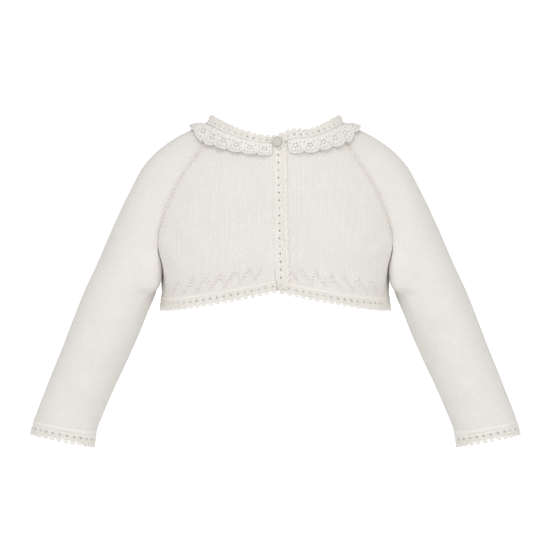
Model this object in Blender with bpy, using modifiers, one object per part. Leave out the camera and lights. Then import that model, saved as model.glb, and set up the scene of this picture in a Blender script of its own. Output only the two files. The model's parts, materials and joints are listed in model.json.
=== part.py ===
"""A baby's knitted bolero cardigan, filled out as it is when worn.

Metres, +Z up. The fronts face -Y and the wearer's right is -X. The origin is in the middle of the neck.
Every piece is a wall lofted over one skin: the torso and the sleeves are sections worked out from the
tables below, and a panel, band or frill is a patch of that skin with its own edges, lift and thickness.
"""

import math

import bmesh
import bpy
from mathutils import Vector

MM = 0.001

# Thickness of the cloth, and the room left between two pieces that are sewn together
KNIT_WALL = 1.6 * MM
BAND_WALL = 1.9 * MM
LACE_WALL = 1.1 * MM
SEAM_GAP = 0.3 * MM
REST_GAP = 0.35 * MM

# Places down the garment: 0 neck seam, 1 underarm, 2 where hem band and cuffs begin, 3 their free edges
NECK, UNDERARM, EDGING, EDGE = 0.0, 1.0, 2.0, 3.0

# The torso, in millimetres. The fold is the raglan seam down to the underarm and the turn of the body
# below it. A turn is the heading of the section there, in degrees from +X, seen from above. The bow says
# how a row climbs from the middle to the fold: above 1 late, below 1 early.
TORSO_COLUMNS = ("down", "front_y", "front_z", "back_y", "back_z", "fold_x", "fold_y", "fold_z",
                 "bow", "front_turn", "side_x", "side_turn")
TORSO = (
    (0.0, -45.0, -14.0, 44.0, -11.0, 59.0, 20.0, 3.3, 1.90, 53, 66.0, 90),
    (0.2, -48.5, -33.0, 47.5, -31.0, 71.0, 26.5, -17.0, 1.90, 46, 84.0, 90),
    (0.4, -52.0, -51.0, 50.0, -50.0, 83.5, 31.5, -35.5, 1.90, 38, 105.5, 90),
    (0.6, -54.5, -69.0, 51.5, -68.5, 95.0, 34.0, -55.0, 1.90, 36, 124.0, 90),
    (0.8, -56.0, -87.0, 52.5, -87.0, 104.5, 33.5, -78.0, 1.80, 44, 138.8, 90),
    (1.0, -57.0, -105.0, 53.0, -105.0, 110.0, 30.0, -103.0, 1.40, 58, 109.8, 88),
    (1.5, -58.0, -122.5, 54.0, -122.5, 104.5, 29.5, -131.0, 1.00, 60, 106.2, 76),
    (2.0, -57.5, -140.3, 54.0, -139.6, 99.5, 28.5, -156.8, 0.74, 62, 108.3, 66),
    (3.0, -56.5, -152.7, 53.0, -151.6, 101.0, 28.5, -169.6, 0.74, 62, 109.9, 64),
)

# The sleeve, in millimetres: the crown runs down its outer side, the seam down its inner side
SLEEVE_COLUMNS = ("down", "crown_x", "crown_z", "turn", "seam_x", "seam_z", "depth", "round")
SLEEVE = (
    (0.0, 66.0, 7.0, 53, 59.0, 3.3, 20.0, 0.0),
    (0.2, 84.0, 0.0, 42, 71.0, -17.0, 26.5, 0.0),
    (0.4, 105.5, -13.0, 32, 83.5, -35.5, 31.5, 0.0),
    (0.6, 124.0, -31.0, 22, 95.0, -55.0, 34.0, 0.0),
    (0.8, 138.8, -57.5, 4, 104.5, -78.0, 34.0, 0.0),
    (1.0, 152.0, -85.0, -25, 110.2, -103.0, 34.0, 0.0),
    (1.2, 168.0, -122.0, 0, 111.3, -141.0, 34.5, 0.5),
    (1.4, 184.7, -159.0, 0, 123.7, -178.0, 33.0, 0.9),
    (1.6, 199.3, -197.0, 0, 138.5, -213.0, 30.0, 1.0),
    (1.8, 214.6, -235.0, 0, 155.0, -248.5, 26.0, 1.0),
    (2.0, 229.0, -272.5, 0, 169.5, -283.5, 22.5, 1.0),
    (3.0, 232.0, -285.5, 0, 172.2, -297.5, 22.0, 1.0),
)

# The back's neck and hem are arches without the front's break in the middle
BACK_SOFTNESS = 0.25
BACK_REACH = math.hypot(1, BACK_SOFTNESS) - BACK_SOFTNESS

# Handles of the section curves, as shares of their chords
MIDDLE_HANDLE = 0.40
FOLD_HANDLE = 0.26
CROWN_HANDLE = 0.42
SIDE_HANDLE = 0.36

# Handles that make a curve follow 135 and 45 degrees of an oval, as shares of its half-axes
CAP_OVAL_HANDLE = 4 / 3 * math.tan(math.radians(135) / 4)
UNDER_OVAL_HANDLE = 4 / 3 * math.tan(math.radians(45) / 4)

# The neck band stands on the neck seam and leans in as it rises
NECK_BAND_NARROWS_X = 0.925
NECK_BAND_NARROWS_Y = 0.935
NECK_BAND_RISE_FRONT = 8.5 * MM
NECK_BAND_RISE_SIDE = 9.5 * MM
NECK_HALF_WIDTH = 66.0 * MM

# Crocheted edges: pitch of the picots and how much of each band they take
PICOT_PITCH = 6.6 * MM
FRONT_PICOT_PITCH = 7.0 * MM
PICOT_SHARE = 0.24
PICOT_OUTLINE = ((0.20, 0.80), (0.50, 1.00), (0.80, 0.80))
PICOT_VALLEY = 0.20

# The front opening. The wearer's right front laps over the left one.
RIGHT_BAND_TOP_X = (-2.3 * MM, 11.1 * MM)
RIGHT_BAND_LOW_X = (0.5 * MM, 14.4 * MM)
LEFT_PANEL_UNDER = 3.5 * MM
RIGHT_LIFT = 0.9 * MM
LEFT_LIFT = -1.4 * MM
LAP_REACH = 26.0 * MM
BAND_CORNER_Z = -132.0 * MM
BAND_CORNER_DROP = 16.0 * MM
BAND_CORNER_X = 3.6 * MM
BAND_FOOT_X = 2.7 * MM
HEM_RIGHT_END_X = (-0.1 * MM, 2.2 * MM)
HEM_LEFT_END_X = (3.3 * MM, 3.3 * MM)
NECK_BAND_ENDS_X = (1.9 * MM, 2.3 * MM)

# The left front's neckline is drawn up a little beside the button
LEFT_NECK_X = 16.5 * MM
LEFT_NECK_SPREAD = 12.0 * MM
LEFT_NECK_RISE = 3.4 * MM
LEFT_BAND_RISE = 5.2 * MM
LEFT_NECK_DOWN = 0.25

# The lace collar
LACE_START_X = -2.8 * MM
LACE_END_X = 11.9 * MM
LACE_WIDTH = (0.116, 0.140)
LACE_INNER_EDGE = 0.004
LACE_SCALLOPS = 31
LACE_SCALLOP_DEPTH = 0.16
LACE_WAVES = 15
LACE_WAVE_HEIGHT = 2.4 * MM
LACE_SHOULDER_RISE = 2.6 * MM

# The button and the loop that holds it
BUTTON_RADIUS = 4.6 * MM
BUTTON_THICKNESS = 2.4 * MM
BUTTON_RIM = 0.9 * MM
BUTTON_X = 1.9 * MM
BUTTON_Z = -12.6 * MM
BUTTON_SIDES = 28
LOOP_RADIUS = 5.6 * MM
LOOP_CORD = 0.6 * MM
LOOP_ARC = (-95, 158)
LOOP_POINTS = 22

# How finely the walls are lofted
YOKE_ROWS = 10
BODY_ROWS = 5
SLEEVE_ROWS = 11
FRONT_COLUMNS = 9
SIDE_COLUMNS = 2
CAP_COLUMNS = 6
UNDERSLEEVE_COLUMNS = 2
LACE_ROWS = 3
STEP = 0.002


def monotone(rows, columns, name, at):
    """Reads one column of a table between its rows, on a smooth curve that never overshoots them."""
    column = columns.index(name)
    places = [row[0] for row in rows]
    values = [row[column] for row in rows]
    last = len(rows) - 2
    span = 0
    while span < last and at > places[span + 1]:
        span += 1

    def slope(i):
        return (values[i + 1] - values[i]) / (places[i + 1] - places[i])

    def tangent(i):
        if i == 0:
            return slope(0)
        if i == len(rows) - 1:
            return slope(i - 1)
        before, after = slope(i - 1), slope(i)
        if before * after <= 0:
            return 0.0
        return 2 * before * after / (before + after)

    width = places[span + 1] - places[span]
    t = (at - places[span]) / width
    start, end = tangent(span) * width, tangent(span + 1) * width
    return ((2 * t**3 - 3 * t**2 + 1) * values[span] + (t**3 - 2 * t**2 + t) * start
            + (3 * t**2 - 2 * t**3) * values[span + 1] + (t**3 - t**2) * end)


def torso(name, down):
    return monotone(TORSO, TORSO_COLUMNS, name, down)


def sleeve(name, down):
    return monotone(SLEEVE, SLEEVE_COLUMNS, name, down)


def heading(degrees):
    return Vector((math.cos(math.radians(degrees)), math.sin(math.radians(degrees))))


def bezier(a, b, c, d, t):
    s = 1 - t
    return s**3 * a + 3 * s**2 * t * b + 3 * s * t**2 * c + t**3 * d


def climb(share, bow):
    """How far a row has climbed from the middle of the garment to its fold."""
    share = min(max(share, 0.0), 1.0)
    if bow >= 1:
        return share**bow
    return 1 - (1 - share)**(1 / bow)


def crown_curve(down):
    """Plan of the sleeve's outer half-section, from the fold in front to the crown."""
    fold = Vector((torso("fold_x", down), -torso("fold_y", down)))
    crown = Vector((sleeve("crown_x", down), 0.0))
    reach = (crown - fold).length * CROWN_HANDLE
    return fold, fold + heading(sleeve("turn", down)) * reach, crown - Vector((0, reach)), crown


def body_plan(across, down, middle_y):
    """Plan of the torso on its +X side: 0 in the middle, 1 at the fold, 2 at the side, front half."""
    fold = Vector((torso("fold_x", down), -torso("fold_y", down)))
    turn = heading(torso("front_turn", down))
    middle = Vector((0.0, -abs(middle_y)))
    if across <= 1:
        chord = (fold - middle).length
        return bezier(middle, middle + Vector((chord * MIDDLE_HANDLE, 0)),
                      fold - turn * chord * FOLD_HANDLE, fold, across)
    side = Vector((torso("side_x", down), 0.0))
    chord = (side - fold).length * SIDE_HANDLE
    start = heading(torso("side_turn", down))
    return bezier(fold, fold + start * chord, side - Vector((0, chord)), side, across - 1)


def sleeve_plan(turn, down):
    """Plan of the sleeve on its +X side: 0 at the crown, 1 at the fold, 2 at its seam, front half."""
    if turn <= 1 and down <= UNDERARM:
        return bezier(*reversed(crown_curve(down)), turn)
    centre = (sleeve("crown_x", down) + sleeve("seam_x", down)) / 2
    width = (sleeve("crown_x", down) - sleeve("seam_x", down)) / 2
    depth = sleeve("depth", down)
    roundness = sleeve("round", down)
    top = crown_curve(UNDERARM)
    top_centre = (sleeve("crown_x", UNDERARM) + sleeve("seam_x", UNDERARM)) / 2
    top_width = sleeve("crown_x", UNDERARM) - top_centre
    top_depth = sleeve("depth", UNDERARM)
    flat = [Vector(((p.x - top_centre) / top_width, p.y / top_depth)) for p in top]
    corner = flat[0]
    half = math.sqrt(0.5)
    oval_corner = Vector((-half, -half))
    if turn <= 1:
        flat_points = list(reversed(flat))
        oval_points = [Vector((1, 0)), Vector((1, -CAP_OVAL_HANDLE)),
                       oval_corner + Vector((half, -half)) * CAP_OVAL_HANDLE, oval_corner]
    else:
        flat_points = [corner, Vector((-1, corner.y * 2 / 3)), Vector((-1, corner.y / 3)), Vector((-1, 0))]
        oval_points = [oval_corner, oval_corner - Vector((half, -half)) * UNDER_OVAL_HANDLE,
                       Vector((-1, -UNDER_OVAL_HANDLE)), Vector((-1, 0))]
        turn -= 1
    blended = [f.lerp(o, roundness) for f, o in zip(flat_points, oval_points)]
    local = bezier(*blended, turn)
    return Vector((centre + local.x * width, local.y * depth))


def torso_point(across, down, back=False):
    """A point of the torso's skin. Above the underarm its sides run on over the sleeve."""
    side = -1 if across < 0 else 1
    across = abs(across)
    if across > 1 and down < UNDERARM:
        return sleeve_point(side, (across - 2) * (-1 if back else 1), down)
    middle = torso("back_y" if back else "front_y", down)
    middle_z = torso("back_z" if back else "front_z", down)
    fold_z = torso("fold_z", down)
    plan = body_plan(across, down, middle)
    share = plan.x / torso("fold_x", down) if across < 1 else 1.0
    if back:
        share = (math.hypot(share, BACK_SOFTNESS) - BACK_SOFTNESS) / BACK_REACH
    z = middle_z + (fold_z - middle_z) * climb(share, torso("bow", down))
    return Vector((plan.x * side, -plan.y if back else plan.y, z)) * MM


def sleeve_point(side, turn, down):
    """A point of a sleeve's skin: turn 0 at the crown, -1 and 1 at the front and back folds, 2 inside."""
    back = turn > 0
    turn = abs(turn)
    if turn > 1 and down < UNDERARM:
        return torso_point(side * (2 - turn), down, back)
    plan = sleeve_plan(turn, down)
    inner_x = torso("fold_x", down) if down <= UNDERARM else sleeve("seam_x", down)
    inner_z = torso("fold_z", down) if down <= UNDERARM else sleeve("seam_z", down)
    crown_x, crown_z = sleeve("crown_x", down), sleeve("crown_z", down)
    share = (plan.x - inner_x) / (crown_x - inner_x)
    z = inner_z + (crown_z - inner_z) * share
    return Vector((plan.x * side, -plan.y if back else plan.y, z)) * MM


def ring_point(around, down):
    """The torso's skin as one ring: 0 middle front, 2 wearer's right side, 4 middle back, 6 left side."""
    around %= 8
    if around <= 2:
        return torso_point(-around, down)
    if around <= 4:
        return torso_point(around - 4, down, True)
    if around <= 6:
        return torso_point(around - 4, down, True)
    return torso_point(8 - around, down)


def facing(surface, u, v, low=NECK):
    """The outward direction of a surface, whose u runs clockwise seen from above and v runs down."""
    v0, v1 = max(v - STEP, low), v + STEP
    along = surface(u + STEP, v) - surface(u - STEP, v)
    downwards = surface(u, v1) - surface(u, v0)
    return along.cross(downwards).normalized()


def torso_facing(around, down):
    on_side = 1 < around % 4 < 3
    return facing(ring_point, around, down, UNDERARM if on_side and down >= UNDERARM else NECK)


def sleeve_facing(side, turn, down):
    low = UNDERARM if abs(turn) > 1 and down >= UNDERARM else NECK
    outward = facing(lambda u, v: sleeve_point(side, u, v), turn, down, low)
    return outward * -side


def around_at(x, down):
    """Where the front's ring crosses a given x."""
    low, high = -1.0, 1.0
    for _ in range(40):
        middle = (low + high) / 2
        if torso_point(middle, down).x < x:
            low = middle
        else:
            high = middle
    return -(low + high) / 2


def between(pair, share):
    return pair[0] + (pair[1] - pair[0]) * share


def soft_step(share):
    share = min(max(share, 0.0), 1.0)
    return share * share * (3 - 2 * share)


def even_places(curve, start, end, count):
    """Places along a curve that are the same length apart."""
    samples = 400
    params = [start + (end - start) * i / samples for i in range(samples + 1)]
    points = [curve(p) for p in params]
    lengths = [0.0]
    for a, b in zip(points, points[1:]):
        lengths.append(lengths[-1] + (b - a).length)
    places = []
    i = 0
    for k in range(count + 1):
        target = lengths[-1] * k / count
        while i < samples - 1 and lengths[i + 1] < target:
            i += 1
        share = (target - lengths[i]) / (lengths[i + 1] - lengths[i])
        places.append(params[i] + (params[i + 1] - params[i]) * share)
    return places


def curve_length(curve, start, end):
    samples = 400
    points = [curve(start + (end - start) * i / samples) for i in range(samples + 1)]
    return sum((b - a).length for a, b in zip(points, points[1:]))


class Sheet:
    """Faces over a surface, which becomes a wall. A vertex is a pair of places on the surface."""

    def __init__(self, surface):
        self.surface = surface
        self.index = {}
        self.points = []
        self.normals = []
        self.faces = []

    def vertex(self, u, v):
        key = (round(u, 6), round(v, 6))
        if key not in self.index:
            point, normal = self.surface(u, v)
            self.index[key] = len(self.points)
            self.points.append(point)
            self.normals.append(normal)
        return self.index[key]

    def face(self, *corners):
        self.faces.append([self.vertex(u, v) for u, v in corners])

    def grid(self, us, vs):
        for u0, u1 in zip(us, us[1:]):
            for v0, v1 in zip(vs, vs[1:]):
                self.face((u0, v0), (u1, v0), (u1, v1), (u0, v1))

    def closed_grid(self, us, vs):
        """A tube: the last column joins the first."""
        for i, u0 in enumerate(us):
            u1 = us[(i + 1) % len(us)]
            for v0, v1 in zip(vs, vs[1:]):
                self.face((u0, v0), (u1, v0), (u1, v1), (u0, v1))

    def picots(self, us, base, valley, tip):
        """A strip with one picot for each column: plain up to the valleys, then round tips."""
        for u0, u1 in zip(us, us[1:]):
            self.face((u0, base), (u1, base), (u1, valley), (u0, valley))
            width, rise = u1 - u0, tip - valley
            outline = [(u0 + width * share, valley + rise * height) for share, height in PICOT_OUTLINE]
            foot = valley + rise * PICOT_VALLEY
            self.face((u0, valley), (u1, valley), (u1, foot), *reversed(outline), (u0, foot))


def share_range(start, end, count):
    return [start + (end - start) * i / count for i in range(count + 1)]


def inset_border(points, normals, faces, gap):
    """Draws every border vertex half a seam gap into its own piece."""
    sides = {}
    for face in faces:
        for a, b in zip(face, face[1:] + face[:1]):
            sides[(a, b)] = True
    border = [(a, b) for a, b in sides if (b, a) not in sides]
    into = {}
    for a, b in border:
        edge = (points[b] - points[a]).normalized()
        for corner in (a, b):
            inward = normals[corner].cross(edge).normalized()
            into.setdefault(corner, []).append(inward)
    moved = list(points)
    for corner, ways in into.items():
        total = sum(ways, Vector())
        spread = 1 + ways[0].dot(ways[-1]) if len(ways) == 2 else 1
        moved[corner] = points[corner] + total * (gap / max(spread, 0.5))
    return moved, border


def make_material(name, colour, roughness, sheen=0.0):
    material = bpy.data.materials.new(name)
    material.use_nodes = True
    shader = material.node_tree.nodes["Principled BSDF"]
    shader.inputs["Base Color"].default_value = (*colour, 1)
    shader.inputs["Roughness"].default_value = roughness
    shader.inputs["Metallic"].default_value = 0.0
    shader.inputs["Sheen Weight"].default_value = sheen
    material.diffuse_color = (*colour, 1)
    return material


def add_object(name, mesh, material):
    thing = bpy.data.objects.new(name, mesh)
    mesh.materials.append(material)
    parts.objects.link(thing)
    thing.parent = cardigan
    return thing


def wall(name, sheet, thickness, material):
    """Turns a sheet into a closed wall, whose plain inside lies straight behind its outer points."""
    outer, border = inset_border(sheet.points, sheet.normals, sheet.faces, SEAM_GAP / 2)
    bm = bmesh.new()
    front = [bm.verts.new(point) for point in outer]
    rear = [bm.verts.new(point - normal * thickness) for point, normal in zip(outer, sheet.normals)]
    for face in sheet.faces:
        bm.faces.new([front[i] for i in face])
        bm.faces.new([rear[i] for i in reversed(face)])
    for a, b in border:
        bm.faces.new([front[b], front[a], rear[a], rear[b]])
    mesh = bpy.data.meshes.new(name)
    bm.to_mesh(mesh)
    bm.free()
    mesh.shade_smooth()
    mesh.set_sharp_from_angle(angle=math.radians(50))
    return add_object(name, mesh, material)


def lap(distance, lift):
    """The step in depth where one front lies over the other, fading away from the opening."""
    return lift * (1 - soft_step(distance / LAP_REACH))


def right_band_x(down, share):
    """Across the wearer's right front band: share 0 at its seam, 1 at its picots."""
    top = between(RIGHT_BAND_TOP_X, share)
    low = between(RIGHT_BAND_LOW_X, share)
    return top + (low - top) * down / EDGING


def left_neck(around, x):
    """Where the left front's neckline is drawn up, from 0 to 1."""
    away = (x - LEFT_NECK_X) / LEFT_NECK_SPREAD
    return math.exp(-away * away) if around % 8 > 6 else 0.0


def drawn_up(around, down):
    """The left front's slip up along the skin, at its neckline."""
    point = ring_point(around, down)
    up = (point - ring_point(around, down + STEP)).normalized()
    return up * LEFT_NECK_RISE * left_neck(around, point.x) * (1 - soft_step(down / LEFT_NECK_DOWN))


def front_point(around, down):
    """The skin with its fronts lapped, and the way it faces."""
    point = ring_point(around, down)
    normal = torso_facing(around, down)
    lift = 0.0
    if around % 8 < 2:
        lift = lap(abs(point.x - right_band_x(down, 0)), RIGHT_LIFT)
    if around % 8 > 6:
        lift = lap(abs(point.x - right_band_x(down, 1) + LEFT_PANEL_UNDER), LEFT_LIFT)
    return point + normal * lift + drawn_up(around, down), normal


def front_surface(side):
    """One front: u 0 at its band, 1 at the raglan seam or fold, 2 at the side seam."""
    def surface(u, v):
        right = side < 0
        edge_x = right_band_x(v, 0) if right else right_band_x(v, 1) - LEFT_PANEL_UNDER
        edge = around_at(edge_x, v) * (1 if right else -1)
        across = edge + (1 - edge) * u if u <= 1 else u
        return front_point(across if right else 8 - across, v)
    return surface


def make_front(name, side, material):
    sheet = Sheet(front_surface(side))
    across = share_range(0, 1, FRONT_COLUMNS)
    round_side = across + share_range(1, 2, SIDE_COLUMNS)[1:]
    yoke = share_range(NECK, UNDERARM, YOKE_ROWS)
    body = share_range(UNDERARM, EDGING, BODY_ROWS)
    sheet.grid(across, yoke)
    sheet.grid(round_side, body)
    if side > 0:
        sheet.faces = [face[::-1] for face in sheet.faces]
    return wall(name, sheet, KNIT_WALL, material)


def make_back(material):
    sheet = Sheet(lambda u, v: (ring_point(u, v), torso_facing(u, v)))
    across = share_range(3, 5, 2 * FRONT_COLUMNS)
    right_side = share_range(2, 3, SIDE_COLUMNS)
    left_side = share_range(5, 6, SIDE_COLUMNS)
    sheet.grid(across, share_range(NECK, UNDERARM, YOKE_ROWS))
    sheet.grid(right_side[:-1] + across + left_side[1:], share_range(UNDERARM, EDGING, BODY_ROWS))
    return wall("back", sheet, KNIT_WALL, material)


def sleeve_turns():
    cap = share_range(-1, 1, 2 * CAP_COLUMNS)
    front_under = share_range(-2, -1, UNDERSLEEVE_COLUMNS)
    back_under = share_range(1, 2, UNDERSLEEVE_COLUMNS)
    return cap, front_under[:-1] + cap + back_under[1:-1]


def sleeve_surface(side):
    def surface(u, v):
        return sleeve_point(side, u, v), sleeve_facing(side, u, v)
    return surface


def make_sleeve(name, side, material):
    sheet = Sheet(sleeve_surface(side))
    cap, tube = sleeve_turns()
    sheet.grid(cap, share_range(NECK, UNDERARM, YOKE_ROWS))
    sheet.closed_grid(tube, share_range(UNDERARM, EDGING, SLEEVE_ROWS))
    if side > 0:
        sheet.faces = [face[::-1] for face in sheet.faces]
    return wall(name, sheet, KNIT_WALL, material)


def make_cuff(name, side, material):
    surface = sleeve_surface(side)
    length = curve_length(lambda u: surface(u, EDGING)[0], -2, 2)
    picots = round(length / PICOT_PITCH)
    places = even_places(lambda u: surface(u, EDGING)[0], -2, 2, picots)
    sheet = Sheet(surface)
    sheet.picots(places, EDGING, EDGE - PICOT_SHARE, EDGE)
    join_seam(sheet)
    if side > 0:
        sheet.faces = [face[::-1] for face in sheet.faces]
    return wall(name, sheet, BAND_WALL, material)


def join_seam(sheet):
    """Joins the two ends of a strip that runs all the way round a tube."""
    for (u, v), index in list(sheet.index.items()):
        if u == 2:
            first = sheet.index[(-2.0, v)]
            sheet.faces = [[first if i == index else i for i in face] for face in sheet.faces]


def neck_band_surface(u, v):
    """The band above the neck seam: v 0 at the seam, 1 at the picots."""
    base = ring_point(u, NECK)
    rise = between((NECK_BAND_RISE_FRONT, NECK_BAND_RISE_SIDE), abs(base.x) / NECK_HALF_WIDTH)
    rise += LEFT_BAND_RISE * left_neck(u, base.x)
    top = Vector((base.x * NECK_BAND_NARROWS_X, base.y * NECK_BAND_NARROWS_Y, base.z + rise))
    return (base + drawn_up(u, NECK)).lerp(top, v)


def make_neck_band(material):
    start = around_at(NECK_BAND_ENDS_X[0], NECK)
    end = around_at(NECK_BAND_ENDS_X[1], NECK) + 8

    def surface(u, v):
        outward = facing(neck_band_surface, u, v, 0) * -1
        return neck_band_surface(u, v), outward

    length = curve_length(lambda u: ring_point(u, NECK), start, end)
    places = even_places(lambda u: ring_point(u, NECK), start, end, round(length / PICOT_PITCH))
    sheet = Sheet(surface)
    sheet.picots(places, 0, 1 - PICOT_SHARE, 1)
    sheet.faces = [face[::-1] for face in sheet.faces]
    return wall("neck_band", sheet, BAND_WALL, material)


def make_hem_band(material):
    """The hem's edging, in one piece from the right front's corner round the back to the left front's."""
    def places_at(down):
        share = down - EDGING
        start = around_at(between(HEM_RIGHT_END_X, share), down)
        end = around_at(between(HEM_LEFT_END_X, share), down) + 8
        return start, end

    start, end = places_at(EDGING)
    length = curve_length(lambda u: ring_point(u, EDGING), start, end)
    even = even_places(lambda u: ring_point(u, EDGING), start, end, round(length / PICOT_PITCH))

    def surface(u, v):
        first, last = places_at(v)
        around = first + (last - first) * (u - start) / (end - start)
        point = ring_point(around, v)
        normal = torso_facing(around, v)
        from_right = (ring_point(around, v) - ring_point(first, v)).length if around < 2 else LAP_REACH
        from_left = (ring_point(around, v) - ring_point(last, v)).length if around > 6 else LAP_REACH
        lift = lap(from_right, RIGHT_LIFT) + lap(from_left, LEFT_LIFT)
        return point + normal * lift, normal

    sheet = Sheet(surface)
    sheet.picots(even, EDGING, EDGE - PICOT_SHARE, EDGE)
    return wall("hem_band", sheet, BAND_WALL, material)


def down_at(z):
    """Where the middle of the front reaches a given height."""
    low, high = NECK, EDGE
    for _ in range(40):
        middle = (low + high) / 2
        if torso("front_z", middle) * MM > z:
            low = middle
        else:
            high = middle
    return (low + high) / 2


def make_right_front_band(material):
    top, seam_end = torso("front_z", NECK) * MM, torso("front_z", EDGING) * MM
    foot = BAND_CORNER_Z - BAND_CORNER_DROP

    def edge_x(z, share):
        """Across the band at a height: straight down to the hem, where its corner rounds in."""
        down = min(down_at(z), EDGING)
        inner, outer = right_band_x(down, 0), right_band_x(down, 1)
        if z < BAND_CORNER_Z:
            drop = min((BAND_CORNER_Z - z) / BAND_CORNER_DROP, 1)
            outer = BAND_CORNER_X + (outer - BAND_CORNER_X) * math.sqrt(1 - drop * drop)
        if z < seam_end:
            inner += (BAND_FOOT_X - inner) * (seam_end - z) / (seam_end - foot)
        return inner + (outer - inner) * share

    def surface(u, v):
        z = top + (foot - top) * u
        down = down_at(z)
        x = edge_x(z, v)
        around = around_at(x, down)
        normal = torso_facing(around, down)
        return ring_point(around, down) + normal * RIGHT_LIFT, normal

    sheet = Sheet(surface)
    places = share_range(0, 1, round((top - foot) / FRONT_PICOT_PITCH))
    sheet.picots(places, 0, 1 - PICOT_SHARE, 1)
    return wall("right_front_band", sheet, BAND_WALL, material)


def make_left_front_band(material):
    """The under band, which shows only where the upper one ends."""
    def surface(u, v):
        seam_x = right_band_x(u, 1) - LEFT_PANEL_UNDER
        x = seam_x + (right_band_x(u, 0) - seam_x) * v
        around = around_at(x, u)
        normal = torso_facing(around, u)
        return ring_point(around, u) + normal * LEFT_LIFT, normal

    sheet = Sheet(surface)
    sheet.grid(share_range(NECK, EDGING, YOKE_ROWS), share_range(0, 1, 2))
    sheet.faces = [face[::-1] for face in sheet.faces]
    return wall("left_front_band", sheet, BAND_WALL, material)


def make_lace_collar(material):
    start = around_at(LACE_START_X, NECK)
    end = around_at(LACE_END_X, NECK) + 8
    columns = LACE_SCALLOPS * 4
    places = even_places(lambda u: ring_point(u, NECK), start, end, columns)
    rank = {round(place, 6): i for i, place in enumerate(places)}

    def surface(u, v):
        """Lies on the yoke from the neck seam, v 0, to its scalloped edge, v 1."""
        i = rank[round(u, 6)]
        base = ring_point(u, NECK)
        shoulder = soft_step(abs(base.x) / NECK_HALF_WIDTH)
        scallop = (0.0, 0.75, 1.0, 0.75)[i % 4]
        width = between(LACE_WIDTH, shoulder) * (1 - LACE_SCALLOP_DEPTH * (1 - scallop))
        down = width * v + LACE_INNER_EDGE
        wave = 0.5 - 0.5 * math.cos(2 * math.pi * LACE_WAVES * i / columns)
        stand = REST_GAP + LACE_WALL
        proud = stand + v * (LACE_WAVE_HEIGHT * wave + LACE_SHOULDER_RISE * shoulder * v)
        point, normal = front_point(u, down)
        return point + normal * proud, normal

    sheet = Sheet(surface)
    sheet.grid(places, share_range(0, 1, LACE_ROWS))
    return wall("lace_collar", sheet, LACE_WALL, material)


def button_place():
    """Middle of the button's back and the direction that it faces."""
    down = down_at(BUTTON_Z)
    around = around_at(BUTTON_X, down)
    normal = torso_facing(around, down)
    seat = ring_point(around, down)
    seat.z = BUTTON_Z
    return seat + normal * (RIGHT_LIFT + REST_GAP), normal


def make_button(material):
    """A dished disc on its edge, turned about the line it faces along."""
    centre, normal = button_place()
    radius, rim, thick = BUTTON_RADIUS, BUTTON_RIM, BUTTON_THICKNESS
    profile = ((0.0, thick * 0.62), (radius - 2 * rim, thick * 0.66), (radius - rim, thick * 0.96),
               (radius - rim * 0.5, thick), (radius, thick * 0.6), (radius, thick * 0.35),
               (radius - rim, 0.0), (0.0, 0.0))
    mesh = bpy.data.meshes.new("button")
    mesh.from_pydata([(r, 0.0, h) for r, h in profile],
                     [(i, i + 1) for i in range(len(profile) - 1)], [])
    button = add_object("button", mesh, material)
    button.location = centre
    button.rotation_euler = normal.to_track_quat("Z", "Y").to_euler()
    screw = button.modifiers.new("Turn", "SCREW")
    screw.steps = BUTTON_SIDES
    screw.render_steps = BUTTON_SIDES
    screw.use_merge_vertices = True
    screw.merge_threshold = 0.00005
    screw.use_smooth_shade = True
    return button


def make_button_loop(material):
    """The crocheted cord that goes from the right edge round the button."""
    centre, normal = button_place()
    across = Vector((1, 0, 0))
    upward = across.cross(normal).normalized() * -1
    curve = bpy.data.curves.new("button_loop", "CURVE")
    curve.dimensions = "3D"
    curve.bevel_depth = LOOP_CORD
    curve.bevel_resolution = 2
    curve.use_fill_caps = True
    spline = curve.splines.new("POLY")
    spline.points.add(LOOP_POINTS - 1)
    for i, place in enumerate(spline.points):
        angle = math.radians(between(LOOP_ARC, i / (LOOP_POINTS - 1)))
        spot = centre + across * LOOP_RADIUS * math.cos(angle) + upward * LOOP_RADIUS * math.sin(angle)
        spot = spot + normal * (LOOP_CORD + REST_GAP)
        place.co = (*spot, 1)
    loop = bpy.data.objects.new("button_loop", curve)
    curve.materials.append(material)
    parts.objects.link(loop)
    loop.parent = cardigan
    return loop


for old in list(bpy.data.objects):
    bpy.data.objects.remove(old, do_unlink=True)

parts = bpy.data.collections.new("bolero_cardigan")
bpy.context.scene.collection.children.link(parts)
cardigan = bpy.data.objects.new("cardigan_origin", None)
parts.objects.link(cardigan)

knit = make_material("ivory_knit", (0.83, 0.80, 0.75), 0.9, 0.3)
crochet = make_material("ivory_crochet", (0.82, 0.78, 0.72), 0.88, 0.2)
lace = make_material("ivory_lace", (0.84, 0.80, 0.77), 0.88, 0.2)
shell = make_material("grey_shell", (0.48, 0.46, 0.40), 0.35)

make_front("right_front", -1, knit)
make_front("left_front", 1, knit)
make_back(knit)
make_sleeve("right_sleeve", -1, knit)
make_sleeve("left_sleeve", 1, knit)
make_neck_band(crochet)
make_hem_band(crochet)
make_right_front_band(crochet)
make_left_front_band(crochet)
make_cuff("right_cuff", -1, crochet)
make_cuff("left_cuff", 1, crochet)
make_lace_collar(lace)
make_button(shell)
make_button_loop(crochet)
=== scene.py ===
"""How the baby's knitted bolero cardigan looks: knitted walls, crocheted edges, lace collar and button.

Sizes in the tables and constants are millimetres. The skin is the same one that the solids are lofted over:
each knitted piece is meshed along its own wales and courses on that skin, and gets its creases, seams and
stitches as real relief.
"""
import math

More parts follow.
